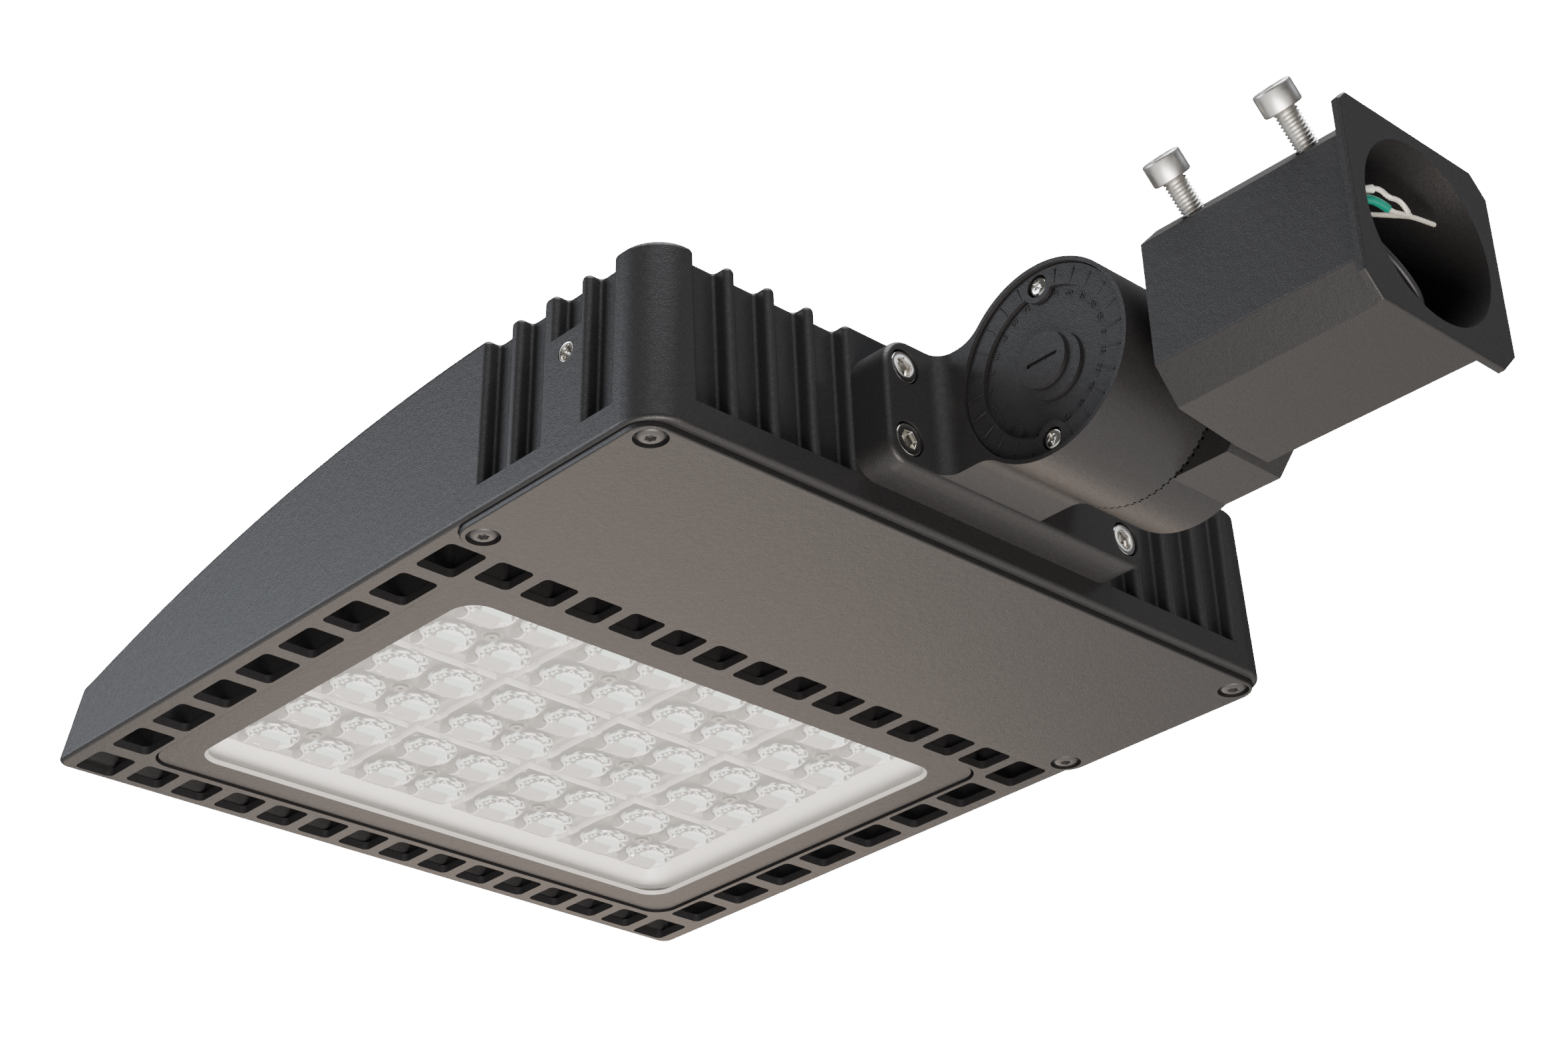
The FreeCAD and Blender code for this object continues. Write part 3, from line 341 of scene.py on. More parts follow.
world = bpy.data.worlds.new("studio")
world.use_nodes = True
bpy.context.scene.world = world
tree = world.node_tree
tree.nodes.clear()
seen = tree.nodes.new("ShaderNodeBackground")
seen.inputs["Color"].default_value = (1.0, 1.0, 1.0, 1.0)
seen.inputs["Strength"].default_value = backdrop_strength
ambient = tree.nodes.new("ShaderNodeBackground")
ambient.inputs["Color"].default_value = (*room_light, 1.0)
ambient.inputs["Strength"].default_value = room_strength
which = tree.nodes.new("ShaderNodeMixShader")
path = tree.nodes.new("ShaderNodeLightPath")
world_out = tree.nodes.new("ShaderNodeOutputWorld")
tree.links.new(path.outputs["Is Camera Ray"], which.inputs["Fac"])
tree.links.new(ambient.outputs["Background"], which.inputs[1])
tree.links.new(seen.outputs["Background"], which.inputs[2])
tree.links.new(which.outputs["Shader"], world_out.inputs["Surface"])

# %% [markdown]
# ## Soft panels
# A few large panels decide which side of the lamp is bright. The window's whites and the dark
# paint round it both face down but need different light. So the strong panel below stands on
# the camera's side, where no flat face mirrors it into the camera. Three others stand where
# one kind of face does mirror them: table_bounce for the faces that look down, side_panel for
# those towards +X, and back_panel for the rear ones. The top panel lights the upper edges. Two
# small panels put sparks into the lenses, and a wide sun overhead keeps the floor pale.

# %% Soft panels
def softbox(name, place, target, size, power, colour):
    """A square panel of light at a place, turned to a target; its size in m, power in W."""
    light = bpy.data.lights.new(name, "AREA")
    light.shape = "SQUARE"
    light.size = size
    light.energy = power
    light.color = colour
    lamp = bpy.data.objects.new(name, light)
    bpy.context.scene.collection.objects.link(lamp)
    lamp.location = place
    lamp.rotation_mode = "QUATERNION"
    lamp.rotation_quaternion = (Vector(target) - Vector(place)).to_track_quat("-Z", "Y")


cool = (0.88, 0.92, 1.0)
cream = (1.0, 0.92, 0.85)
warm = (1.0, 0.89, 0.80)
amber = (1.0, 0.78, 0.62)
middle = (0.0, -0.17, 0.0)
window = (0.0, -0.39, -0.03)
rear_faces = (0.05, -0.15, 0.0)
softbox("under_panel", (0.35, 0.25, -1.35), window, 0.9, 56.0, cream)
softbox("table_bounce", (-1.8, -2.5, -0.95), middle, 1.2, 13.0, amber)
softbox("side_panel", (1.6, -1.6, 0.5), middle, 1.2, 38.0, cool)
softbox("back_panel", (-1.31, 1.21, 1.06), rear_faces, 0.6, 1.9, cool)
softbox("top_panel", (0.3, 0.4, 1.8), middle, 1.4, 42.0, cool)
softbox("sparkle_right", (-0.7, -1.5, -1.2), window, 0.12, 3.0, warm)
softbox("sparkle_left", (0.4, 0.8, -1.3), window, 0.12, 3.0, cool)

sun_strength = 2.3
sun_width = math.radians(50)
overhead = bpy.data.lights.new("overhead", "SUN")
overhead.energy = sun_strength
overhead.angle = sun_width
overhead.color = (1.0, 0.985, 0.96)
overhead_lamp = bpy.data.objects.new("overhead", overhead)
overhead_lamp.location = (0, 0, 3)
bpy.context.scene.collection.objects.link(overhead_lamp)

# %% [markdown]
# ## Powder coat
# The castings carry a fine-textured graphite powder coat. Powder melts into a skin with a
# pebbled face: small bumps of about half a millimetre on a slower swell, the orange peel. The
# colour is nearly black with a little mottle, and the paint mirrors less than bare plastic, so
# its highlights are broad and soft.

# %% Powder coat
coat_dark = (0.009, 0.0088, 0.009)
coat_light = (0.021, 0.0205, 0.021)
coat_roughness = 0.43
coat_unevenness = 0.05
coat_mirror = 0.28
swell, pebbles = 420.0, 2300.0
swell_depth, pebble_depth = 0.00008, 0.00009

coat = new_material("graphite_powder_coat", coat_dark, coat_roughness)
coat.node_tree.nodes["Principled BSDF"].inputs["Specular IOR Level"].default_value = coat_mirror
vary(coat, "Base Color", noise(coat, 1500.0, 3.0), coat_dark, coat_light)
vary(coat, "Roughness", noise(coat, 1100.0), coat_roughness - coat_unevenness,
     coat_roughness + coat_unevenness)
grain(coat, [(noise(coat, swell), swell_depth), (noise(coat, pebbles), pebble_depth)])

# %% [markdown]
# ## Clear plastic
# A moulded lens shows a broken picture of the board and of the room, which plain facets can
# only hint at. So the acrylic is a veil over the board. Layer Weight says how squarely a face
# is seen, and Map Range makes that its alpha, from one value seen straight on to another at a
# grazing angle. The facets of a prism are painted with reflections of a bright, a mint and a
# dark kind, as if each one mirrored something else.

# %% Clear plastic and glass
pane_veil = 0.07
facing_blend = 0.35
acrylic_lift = 1.04

pane = new_material("clear_tempered_pane", (0.96, 0.98, 0.97), 0.04)
pane.node_tree.nodes["Principled BSDF"].inputs["Alpha"].default_value = pane_veil


def clear_acrylic(name, colour, roughness, straight, grazing):
    """Clear plastic with one alpha where it is seen straight on and another at its edges."""
    material = new_material(name, colour, roughness)
    nodes, links = material.node_tree.nodes, material.node_tree.links
    facing = nodes.new("ShaderNodeLayerWeight")
    facing.inputs["Blend"].default_value = facing_blend
    veil = nodes.new("ShaderNodeMapRange")
    veil.inputs["To Min"].default_value = straight
    veil.inputs["To Max"].default_value = grazing
    links.new(facing.outputs["Facing"], veil.inputs["Value"])
    links.new(veil.outputs["Result"], nodes["Principled BSDF"].inputs["Alpha"])
    vary(material, "Base Color", noise(material, 120.0), colour,
         tuple(min(1.0, part * acrylic_lift) for part in colour))
    return material


flat_lens = clear_acrylic("clear_acrylic_plate", (0.38, 0.355, 0.335), 0.12, 0.25, 0.40)
lens = clear_acrylic("clear_acrylic_lens", (0.56, 0.53, 0.51), 0.07, 0.80, 0.45)
# The bright, mint and dark prism kinds are painted reflections, standing for what each facet
# mirrors.
prism = clear_acrylic("prism_acrylic", (0.98, 0.96, 0.93), 0.04, 0.95, 1.0)
prism_painted_mint = clear_acrylic("prism_acrylic_painted_mint", (0.72, 0.88, 0.82), 0.04, 0.80, 0.95)
prism_painted_dark = clear_acrylic("prism_acrylic_painted_dark", (0.26, 0.245, 0.23), 0.06, 0.55, 0.75)
# The plate's walls are painted near-white as a glow, the light that clear acrylic gathers at its
# edges.
edge_glow_paint = clear_acrylic("acrylic_edge_painted_glow", (0.99, 0.96, 0.93), 0.40, 0.92, 1.0)

# %% [markdown]
# ## Metals, boards and plastics
# These are plain: a colour or a roughness that wanders a little is enough to keep a surface
# from looking computed.

# %% Metals, boards and plastics
tray = new_material("satin_tray", (0.95, 0.92, 0.89), 0.24)
vary(tray, "Roughness", noise(tray, 60.0), 0.20, 0.30)

# The bead is pale silicone, painted grey to match the shade on the tray's wall beside it.
bead = new_material("pale_silicone_painted_shade", (0.42, 0.40, 0.38), 0.35)
vary(bead, "Roughness", noise(bead, 200.0), 0.30, 0.42)

# The board is a white solder mask, painted grey for the shade it lies in behind the lenses.
board = new_material("white_solder_mask_painted_shade", (0.36, 0.335, 0.315), 0.40)
vary(board, "Base Color", noise(board, 40.0), (0.34, 0.315, 0.295), (0.39, 0.365, 0.345))

chip = new_material("phosphor", (0.85, 0.80, 0.62), 0.5)
vary(chip, "Base Color", noise(chip, 900.0), (0.83, 0.77, 0.58), (0.88, 0.83, 0.68))

steel = new_material("stainless_steel", (0.60, 0.585, 0.56), 0.24, 1.0)
vary(steel, "Roughness", noise(steel, 700.0, 3.0), 0.18, 0.32)
grain(steel, [(noise(steel, 1800.0), 0.00001)])

polished = new_material("polished_steel", (0.70, 0.68, 0.64), 0.14, 1.0)
vary(polished, "Roughness", noise(polished, 900.0, 3.0), 0.10, 0.22)
grain(polished, [(noise(polished, 700.0), 0.000008)])

satin_steel = new_material("satin_steel", (0.64, 0.63, 0.60), 0.36, 1.0)
vary(satin_steel, "Roughness", noise(satin_steel, 900.0, 3.0), 0.30, 0.44)
grain(satin_steel, [(noise(satin_steel, 2400.0), 0.00001)])

zinc = new_material("dull_zinc", (0.34, 0.32, 0.30), 0.5, 1.0)
vary(zinc, "Roughness", noise(zinc, 900.0), 0.44, 0.56)

black_steel = new_material("black_oxide_steel", (0.022, 0.021, 0.021), 0.48)
vary(black_steel, "Roughness", noise(black_steel, 900.0), 0.42, 0.54)

rubber = new_material("black_silicone", (0.02, 0.02, 0.02), 0.7)
vary(rubber, "Roughness", noise(rubber, 500.0), 0.62, 0.78)

driver_case = new_material("plain_aluminium", (0.62, 0.63, 0.64), 0.38, 1.0)
vary(driver_case, "Roughness", noise(driver_case, 400.0, 2.0, (0.05, 1.0, 1.0)), 0.3, 0.46)

dark_plastic = new_material("black_moulding", (0.03, 0.03, 0.032), 0.5)
vary(dark_plastic, "Roughness", noise(dark_plastic, 300.0), 0.45, 0.56)

pale_plastic = new_material("white_moulding", (0.78, 0.78, 0.75), 0.45)
vary(pale_plastic, "Roughness", noise(pale_plastic, 300.0), 0.4, 0.5)


def dress(material, *names):
    """Gives a material to pieces of the frame."""
    for name in names:
        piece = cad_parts[name]
        if not piece.material_slots:
            piece.data.materials.append(material)
        for place in piece.material_slots:
            place.material = material


dress(coat, "housing", "window_frame", "driver_cover", "bracket", "slipfitter",
      "protractor_cap")
dress(pane, "window_glass")
dress(tray, "reflector_tray")
dress(board, "led_board")
dress(chip, "led_chips")
dress(zinc, "lens_screws")
dress(steel, "roof_screws", "side_insert_left", "side_insert_right",
      "bracket_screws", "cap_screws", "pivot_bolt", "pivot_washer", "pivot_nut",
      "clamp_screw_near", "clamp_screw_far")
dress(black_steel, "cover_screws")
dress(rubber, "window_seal", "cover_seal", "bracket_seal", "lead_grommet", "duct_grommet")
dress(driver_case, "driver")
dress(dark_plastic, "surge_protector")
dress(pale_plastic, "terminal_block")

# %% [markdown]
# ## Turned pieces
# A screw head is a lathe's work, so it is drawn as a lathe cuts it. A ring of points is filled
# and its face is drawn out step by step, and at each step it is scaled to the next radius. That
# gives a closed skin with clean rings, which shades well.

# %% Helpers for turned pieces
def open_mesh():
    """Opens the active piece's mesh for editing, with all of it selected."""
    bpy.ops.object.mode_set(mode="EDIT")
    bpy.ops.mesh.select_all(action="SELECT")


def close_mesh():
    """Turns all the faces of the open mesh outwards and closes it."""
    bpy.ops.mesh.select_all(action="SELECT")
    bpy.ops.mesh.normals_make_consistent(inside=False)
    bpy.ops.object.mode_set(mode="OBJECT")


def draw_out(rise, factor=1.0):
    """Draws the selected faces out along Z by a rise in millimetres, then scales them."""
    bpy.ops.mesh.extrude_region_move(TRANSFORM_OT_translate={"value": (0, 0, rise * MM)})
    if factor != 1.0:
        bpy.ops.transform.resize(value=(factor, factor, 1.0), center_override=(0, 0, 0))


def turned(profile, sides=48):
    """A round piece about +Z from its profile, a list of (radius, height) in millimetres."""
    radius, height = profile[0]
    bpy.ops.object.select_all(action="DESELECT")
    bpy.ops.mesh.primitive_circle_add(vertices=sides, radius=radius * MM, fill_type="NGON",
                                      location=(0, 0, height * MM))
    piece = bpy.context.object
    settle(piece)
    open_mesh()
    for (r0, z0), (r1, z1) in zip(profile, profile[1:]):
        draw_out(z1 - z0, r1 / r0)
    close_mesh()
    return piece


# %% [markdown]
# ## Recesses for the driver
# The recess in a screw's head is cut with a tool of the key's shape, as a punch forms it. The
# tool is a ring of points with every second one drawn in: six corners make a hexagon, four
# sharp rays a cross, and six soft ones a six-lobe key.

# %% Helpers for recesses
def key_tool(points, outer, inner, top, bottom):
    """A prism whose section has points at outer and notches at inner, between two heights."""
    bpy.ops.object.select_all(action="DESELECT")
    bpy.ops.mesh.primitive_circle_add(vertices=2 * points, radius=outer * MM, fill_type="NGON",
                                      location=(0, 0, bottom * MM))
    tool = bpy.context.object
    settle(tool)
    for index, corner in enumerate(tool.data.vertices):
        if index % 2:
            corner.co.x *= inner / outer
            corner.co.y *= inner / outer
    open_mesh()
    draw_out(top - bottom)
    close_mesh()
    return tool


def cut(piece, tool):
    """Takes a tool's volume out of a piece, and the tool away."""
    only(piece)
    trim = piece.modifiers.new("cut", "BOOLEAN")
    trim.operation = "DIFFERENCE"
    trim.solver = "EXACT"
    trim.object = tool
    bpy.ops.object.modifier_apply(modifier=trim.name)
    bpy.data.objects.remove(tool)


def soften(piece, width, angle=30.0, segments=2):
    """Rounds the sharp edges of a piece and smooths what is left."""
    only(piece)
    bevel = piece.modifiers.new("soften", "BEVEL")
    bevel.width = width * MM
    bevel.segments = segments
    bevel.limit_method = "ANGLE"
    bevel.angle_limit = math.radians(angle)
    bpy.ops.object.modifier_apply(modifier=bevel.name)
    bpy.ops.object.shade_smooth_by_angle(angle=math.radians(angle))


def set_down(model, where, direction, turn=0.0):
    """A copy of a model with its own mesh, turned from +Z to a direction and set in place."""
    only(model)
    bpy.ops.object.duplicate(linked=False)
    piece = bpy.context.object
    piece.rotation_mode = "QUATERNION"
    spin = Matrix.Rotation(turn, 3, "Z").to_quaternion()
    piece.rotation_quaternion = Vector(direction).to_track_quat("Z", "Y") @ spin
    piece.location = where
    settle(piece)
    return piece


def corner_places(low, high, inset, first, second):
    """The places inset from a box's four corners, in the plane of its axes first and second."""
    return [(u, v) for u in (low[first] + inset, high[first] - inset)
            for v in (low[second] + inset, high[second] - inset)]


# %% [markdown]
# ## Bracket screws
# Four low socket-cap screws hold the bracket in its cups: a flat polished ring round a hexagon
# socket. The solid is a plain button, so a finer one takes its place. One is turned, its socket
# is cut, and the four are copies, each turned a little further as a hand leaves them.

# %% Bracket screws
head_radius, head_height = 5.85, 3.3
bracket_screw = turned([(2.5, -26.9), (3.0, -26.4), (3.0, 0.0), (5.8, 0.0), (head_radius, 0.3),
                        (head_radius, 2.55), (5.74, 2.9), (5.5, 3.15), (5.15, 3.28),
                        (3.9, 3.28)])
cut(bracket_screw, key_tool(3, 3.5, 3.5, 4.0, 0.3))
soften(bracket_screw, 0.12, 40.0)
low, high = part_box("bracket_screws")
seat = high[1] - head_height * MM
for index, (x, z) in enumerate(corner_places(low, high, head_radius * MM, 0, 2)):
    piece = set_down(bracket_screw, (x, seat, z), (0, 1, 0), math.radians(17 * index))
    enlist(piece, "bracket_screw_%d" % (index + 1), polished, "head", "bracket_screws")
bpy.data.objects.remove(bracket_screw)
print("set 4 bracket screws in their cups")

# %% [markdown]
# ## Cap screws
# The protractor cap is held by two small pan-head screws with a cross recess.

# %% Cap screws
head_radius, head_height = 3.6, 2.2
cap_screw = turned([(1.6, -8.9), (2.0, -8.5), (2.0, 0.0), (3.55, 0.0), (head_radius, 0.2),
                    (head_radius, 0.95), (3.45, 1.35), (3.1, 1.7), (2.5, 1.97), (1.7, 2.12),
                    (0.8, 2.18)])
cut(cap_screw, key_tool(4, 2.3, 0.75, 3.0, 0.9))
soften(cap_screw, 0.07, 35.0)
low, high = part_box("cap_screws")
inset = head_radius * MM
seat = high[0] - head_height * MM
middle_y = (low[1] + high[1]) / 2
for index, z in enumerate((low[2] + inset, high[2] - inset)):
    piece = set_down(cap_screw, (seat, middle_y, z), (1, 0, 0), math.radians(20 + 30 * index))
    enlist(piece, "cap_screw_%d" % (index + 1), polished, "head", "cap_screws")
bpy.data.objects.remove(cap_screw)
print("set 2 cap screws")

# %% [markdown]
# ## Cover screws
# Black pan-head screws with a six-lobe recess sit in the cover's cups, heads down.

# %% Cover screws
head_radius, head_height = 4.6, 1.9
cover_screw = turned([(2.1, -10.9), (2.5, -10.5), (2.5, 0.0), (4.5, 0.0), (head_radius, 0.2),
                      (head_radius, 0.9), (4.4, 1.3), (3.95, 1.6), (3.3, 1.8),
                      (2.4, head_height)])
cut(cover_screw, key_tool(6, 2.15, 1.55, 3.0, 0.5))
soften(cover_screw, 0.1, 35.0)
low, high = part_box("cover_screws")
seat = low[2] + head_height * MM
for index, (x, y) in enumerate(corner_places(low, high, head_radius * MM, 0, 1)):
    piece = set_down(cover_screw, (x, y, seat), (0, 0, -1), math.radians(11 * index))
    enlist(piece, "cover_screw_%d" % (index + 1), black_steel, "head", "cover_screws")
bpy.data.objects.remove(cover_screw)
print("set 4 cover screws")

# %% [markdown]
# ## A real thread
# The clamp screws stand far out of the socket, so their M8 thread shows. A thread is one V
# tooth swept round the axis while it climbs by its pitch, which is what the Screw modifier
# does. The sweep runs a turn too far at both ends, its holes are filled, and two planes trim
# it.

# %% A helper for threads
def threaded_rod(radius, pitch, bottom, top, steps=40):
    """A screwed rod about +Z between two heights, all in millimetres."""
    depth = 0.6 * pitch
    turns_past = 3
    bpy.ops.object.select_all(action="DESELECT")
    bpy.ops.mesh.primitive_circle_add(vertices=4, radius=pitch / 2 * MM,
                                      rotation=(math.pi / 2, 0, 0))
    rod = bpy.context.object
    settle(rod)
    bpy.ops.object.mode_set(mode="EDIT")
    bpy.ops.mesh.select_mode(type="VERT")
    bpy.ops.mesh.select_all(action="DESELECT")
    bpy.ops.object.mode_set(mode="OBJECT")
    for corner in rod.data.vertices:
        corner.select = corner.co.x < -0.1 * pitch * MM
    bpy.ops.object.mode_set(mode="EDIT")
    bpy.ops.mesh.delete(type="VERT")
    bpy.ops.mesh.select_all(action="SELECT")
    bpy.ops.transform.resize(value=(2 * depth / pitch, 1.0, 1.0), center_override=(0, 0, 0))
    bpy.ops.transform.translate(value=((radius - depth) * MM, 0, (bottom - pitch) * MM))
    bpy.ops.object.mode_set(mode="OBJECT")
    sweep = rod.modifiers.new("thread", "SCREW")
    sweep.axis = "Z"
    sweep.angle = 2 * math.pi
    sweep.screw_offset = pitch * MM
    sweep.iterations = int((top - bottom) / pitch) + turns_past
    sweep.steps = sweep.render_steps = steps
    sweep.use_merge_vertices = True
    sweep.merge_threshold = 0.001 * MM
    only(rod)
    bpy.ops.object.modifier_apply(modifier=sweep.name)
    open_mesh()
    bpy.ops.mesh.remove_doubles(threshold=0.002 * MM)
    bpy.ops.mesh.select_all(action="SELECT")
    bpy.ops.mesh.fill_holes(sides=0)
    for height, up in ((bottom, -1), (top, 1)):
        bpy.ops.mesh.select_all(action="SELECT")
        bpy.ops.mesh.bisect(plane_co=(0, 0, height * MM), plane_no=(0, 0, up),
                            use_fill=True, clear_outer=True)
    close_mesh()
    return rod


def joined(*pieces):
    """Several pieces as one object."""
    only(pieces[0])
    for piece in pieces[1:]:
        piece.select_set(True)
    bpy.ops.object.join()
    return bpy.context.object


# %% [markdown]
# ## Clamp screws
# Two M8 socket-cap screws press on the tenon through the socket's upper chamfer. Their heads
# are satin steel with a soft edge, and only the ends of their shanks reach into the bore. Each
# slides on a body of its own, so each is a piece of its own.

# %% Clamp screws
head_radius, head_height = 6.5, 8.0
shank_radius, shank_pitch, shank_length = 4.0, 1.25, 20.0
shank_overlap = 0.3
clamp_turn = math.radians(12)

clamp_head = turned([(4.2, 0.0), (5.9, 0.0), (6.3, 0.25), (head_radius, 0.6),
                     (head_radius, 7.2), (6.38, 7.6), (6.1, 7.87), (5.7, head_height),
                     (4.2, head_height)])
cut(clamp_head, key_tool(3, 3.45, 3.45, 9.0, 3.9))
soften(clamp_head, 0.15, 40.0)
clamp_shank = threaded_rod(shank_radius, shank_pitch, -shank_length, shank_overlap)
only(clamp_shank)
bpy.ops.object.shade_smooth_by_angle(angle=math.radians(20))
clamp_screw = joined(clamp_head, clamp_shank)
diagonal = Vector((1, 0, 1)).normalized()
for name, body in (("clamp_screw_near", "near_clamp"), ("clamp_screw_far", "far_clamp")):
    low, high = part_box(name)
    head_top = high[0] * math.sqrt(2) - head_radius * MM
    middle_y = (low[1] + high[1]) / 2
    seat = diagonal * (head_top - head_height * MM) + Vector((0, middle_y, 0))
    piece = set_down(clamp_screw, seat, diagonal, clamp_turn)
    enlist(piece, name + "_detailed", satin_steel, body, name)
bpy.data.objects.remove(clamp_screw)
print("set 2 clamp screws with their threads")

# %% [markdown]
# ## Threaded inserts
# A steel insert with an inner M6 thread is pressed into each side wall for shields and visors.
# It is a tube, so its profile goes round the outside, over the face and down the bore in V
# steps.

# %% Threaded inserts
insert_radius, insert_length = 3.6, 11.8
bore_root, bore_crest, bore_pitch = 3.0, 2.55, 1.0
bore_top, bore_bottom, bore_end_radius = 11.5, 2.5, 2.5

bore_steps = [(insert_radius, 0.0), (insert_radius, 11.6), (3.45, insert_length),
              (3.15, insert_length)]
level = bore_top
while level > bore_bottom:
    bore_steps += [(bore_crest, level), (bore_root, level - bore_pitch / 2)]
    level -= bore_pitch
bore_steps.append((bore_end_radius, level))
insert = turned(bore_steps)
soften(insert, 0.04, 60.0, 1)
for name, side in (("side_insert_left", 1), ("side_insert_right", -1)):
    low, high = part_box(name)
    face = high[0] if side == 1 else low[0]
    where = (face - side * insert_length * MM, (low[1] + high[1]) / 2, (low[2] + high[2]) / 2)
    piece = set_down(insert, where, (side, 0, 0))
    enlist(piece, name + "_threaded", polished, "head", name)
bpy.data.objects.remove(insert)
print("set 2 threaded inserts")

# %% [markdown]
# ## Lens modules
# Behind the pane lie twelve moulded acrylic plates, each with four street lenses. A lens is a
# smooth barrel that spreads light along the road, on a foot of prism facets that turn it. One
# module is modelled about its plate's middle. Its plate is a bevelled block with small notches,
# and its walls are painted near-white as a glow, the light that clear acrylic gathers at its
# edges. Each foot is a ring drawn out with a half-step twist at every level, which gives
# triangular facets, and it is shallower towards +Y, where the barrel lies. Each barrel is a
# round bar laid on its side and flattened. The facets are painted with three reflections, a
# bright, a mint and a dark one, mixed by a draw with a fixed seed. A facet takes its painted
# reflection by its ring and its sector, since the faces of a drawn-out ring come in another
# order in each run. The flat facets in the middle always come in the same order, so these take
# the painted reflections in turn.

# %% One lens: its faceted foot
def prism_foot():
    """A low faceted dome that hangs below z = 0 and is shallower towards +Y."""
    sides = 30
    half_step = math.pi / sides
    squeeze = 0.88
    middle_depth, lean = 0.72, 0.28
    levels = [(10.6, 0.0), (10.4, -1.2), (9.8, -2.6), (8.9, -3.7), (7.9, -4.0), (7.0, -2.4)]
    # Three painted reflections, a bright, a mint and a dark one, as if each facet mirrored
    # something else.
    reflection_paints = (prism, prism_painted_mint, prism_painted_dark)
    flat_normal_z = 0.99
    shade_order = (0, 2, 0, 1, 2, 0, 2)
    pattern_seed = 11
    draw = random.Random(pattern_seed)
    pattern = [[draw.choice(shade_order) for sector in range(2 * sides)] for ring in levels]

    bpy.ops.object.select_all(action="DESELECT")
    bpy.ops.mesh.primitive_circle_add(vertices=sides, radius=levels[0][0] * MM,
                                      fill_type="NGON")
    foot = bpy.context.object
    open_mesh()
    for (r0, z0), (r1, z1) in zip(levels, levels[1:]):
        draw_out(z1 - z0, r1 / r0)
        bpy.ops.transform.rotate(value=half_step, orient_axis="Z", center_override=(0, 0, 0))
    bpy.ops.mesh.select_all(action="SELECT")
    bpy.ops.mesh.quads_convert_to_tris()
    bpy.ops.mesh.normals_make_consistent(inside=False)
    bpy.ops.transform.resize(value=(1.0, squeeze, 1.0), center_override=(0, 0, 0))
    bpy.ops.object.mode_set(mode="OBJECT")
    reach = levels[0][0] * squeeze * MM
    for shade in reflection_paints:
        foot.data.materials.append(shade)
    for index, facet in enumerate(foot.data.polygons):
        x, y = facet.center.x, facet.center.y / squeeze
        sector = round(math.atan2(y, x) / half_step) % (2 * sides)
        ring = sum(math.hypot(x, y) < radius * MM for radius, height in levels)
        is_flat = abs(facet.normal.z) > flat_normal_z
        facet.material_index = (shade_order[index % len(shade_order)] if is_flat
                                else pattern[ring - 1][sector])
    for corner in foot.data.vertices:
        corner.co.z *= middle_depth - lean * corner.co.y / reach
    return foot


# %% One lens: its barrel
def lens_barrel():
    """A flattened round bar along X, half sunk in the foot, with soft rims painted bright as a
    highlight.
    """
    radius, length, flatness = 5.2, 13.6, 0.74
    trim_height = 1.0
    painted_highlight_normal_x = (0.15, 0.95)
    bpy.ops.object.select_all(action="DESELECT")
    bpy.ops.mesh.primitive_cylinder_add(vertices=40, radius=radius * MM, depth=length * MM,
                                        rotation=(0, math.pi / 2, 0))
    barrel = bpy.context.object
    settle(barrel)
    open_mesh()
    bpy.ops.transform.resize(value=(1.0, 1.0, flatness), center_override=(0, 0, 0))
    bpy.ops.mesh.bisect(plane_co=(0, 0, trim_height * MM), plane_no=(0, 0, 1), use_fill=True,
                        clear_outer=True)
    bpy.ops.object.mode_set(mode="OBJECT")
    soften(barrel, 1.0, 50.0, 3)
    barrel.data.materials.append(lens)
    barrel.data.materials.append(prism)
    # Faces on the rims take the bright prism paint, a painted highlight.
    for face in barrel.data.polygons:
        on_painted_highlight = painted_highlight_normal_x[0] < abs(face.normal.x) < painted_highlight_normal_x[1]
        face.material_index = 1 if on_painted_highlight else 0
    return barrel


# %% One module's plate
module_low, module_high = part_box("lens_module_01")
plate_thickness = 3.0
plate_size = (module_high[0] - module_low[0], module_high[1] - module_low[1],
              plate_thickness * MM)
notch_width, notch_depth, notch_height = 6.0, 1.4, 1.0
notch_places = (-11.0, 13.0)
wall_normal_z = 0.5

bpy.ops.object.select_all(action="DESELECT")
bpy.ops.mesh.primitive_cube_add(size=1.0, location=(0, 0, plate_size[2] / 2))
plate = bpy.context.object
plate.scale = plate_size
settle(plate)
notches = []
for side in (1, -1):
    for shift in notch_places:
        across_y = ((shift * MM, side * plate_size[1] / 2), (notch_width, notch_depth))
        across_x = ((side * plate_size[0] / 2, shift * MM), (notch_depth, notch_width))
        for (x, y), (size_x, size_y) in (across_y, across_x):
            bpy.ops.object.select_all(action="DESELECT")
            bpy.ops.mesh.primitive_cube_add(size=1.0, location=(x, y, notch_height * MM))
            notch = bpy.context.object
            notch.scale = (size_x, size_y, notch_width)
            notch.scale *= MM
            settle(notch)
            notches.append(notch)
cut(plate, joined(*notches))
soften(plate, 0.25, 40.0)
plate.data.materials.append(flat_lens)
# The walls take the near-white paint, a painted glow; the faces take the grey veil.
plate.data.materials.append(edge_glow_paint)
for face in plate.data.polygons:
    is_wall = abs(face.normal.z) < wall_normal_z
    face.material_index = 1 if is_wall else 0

# %% One module, put together
lens_step = (24.5, 25.0)
foot_shift = (0.8, -2.4)
barrel_shift = (-0.8, 3.2)

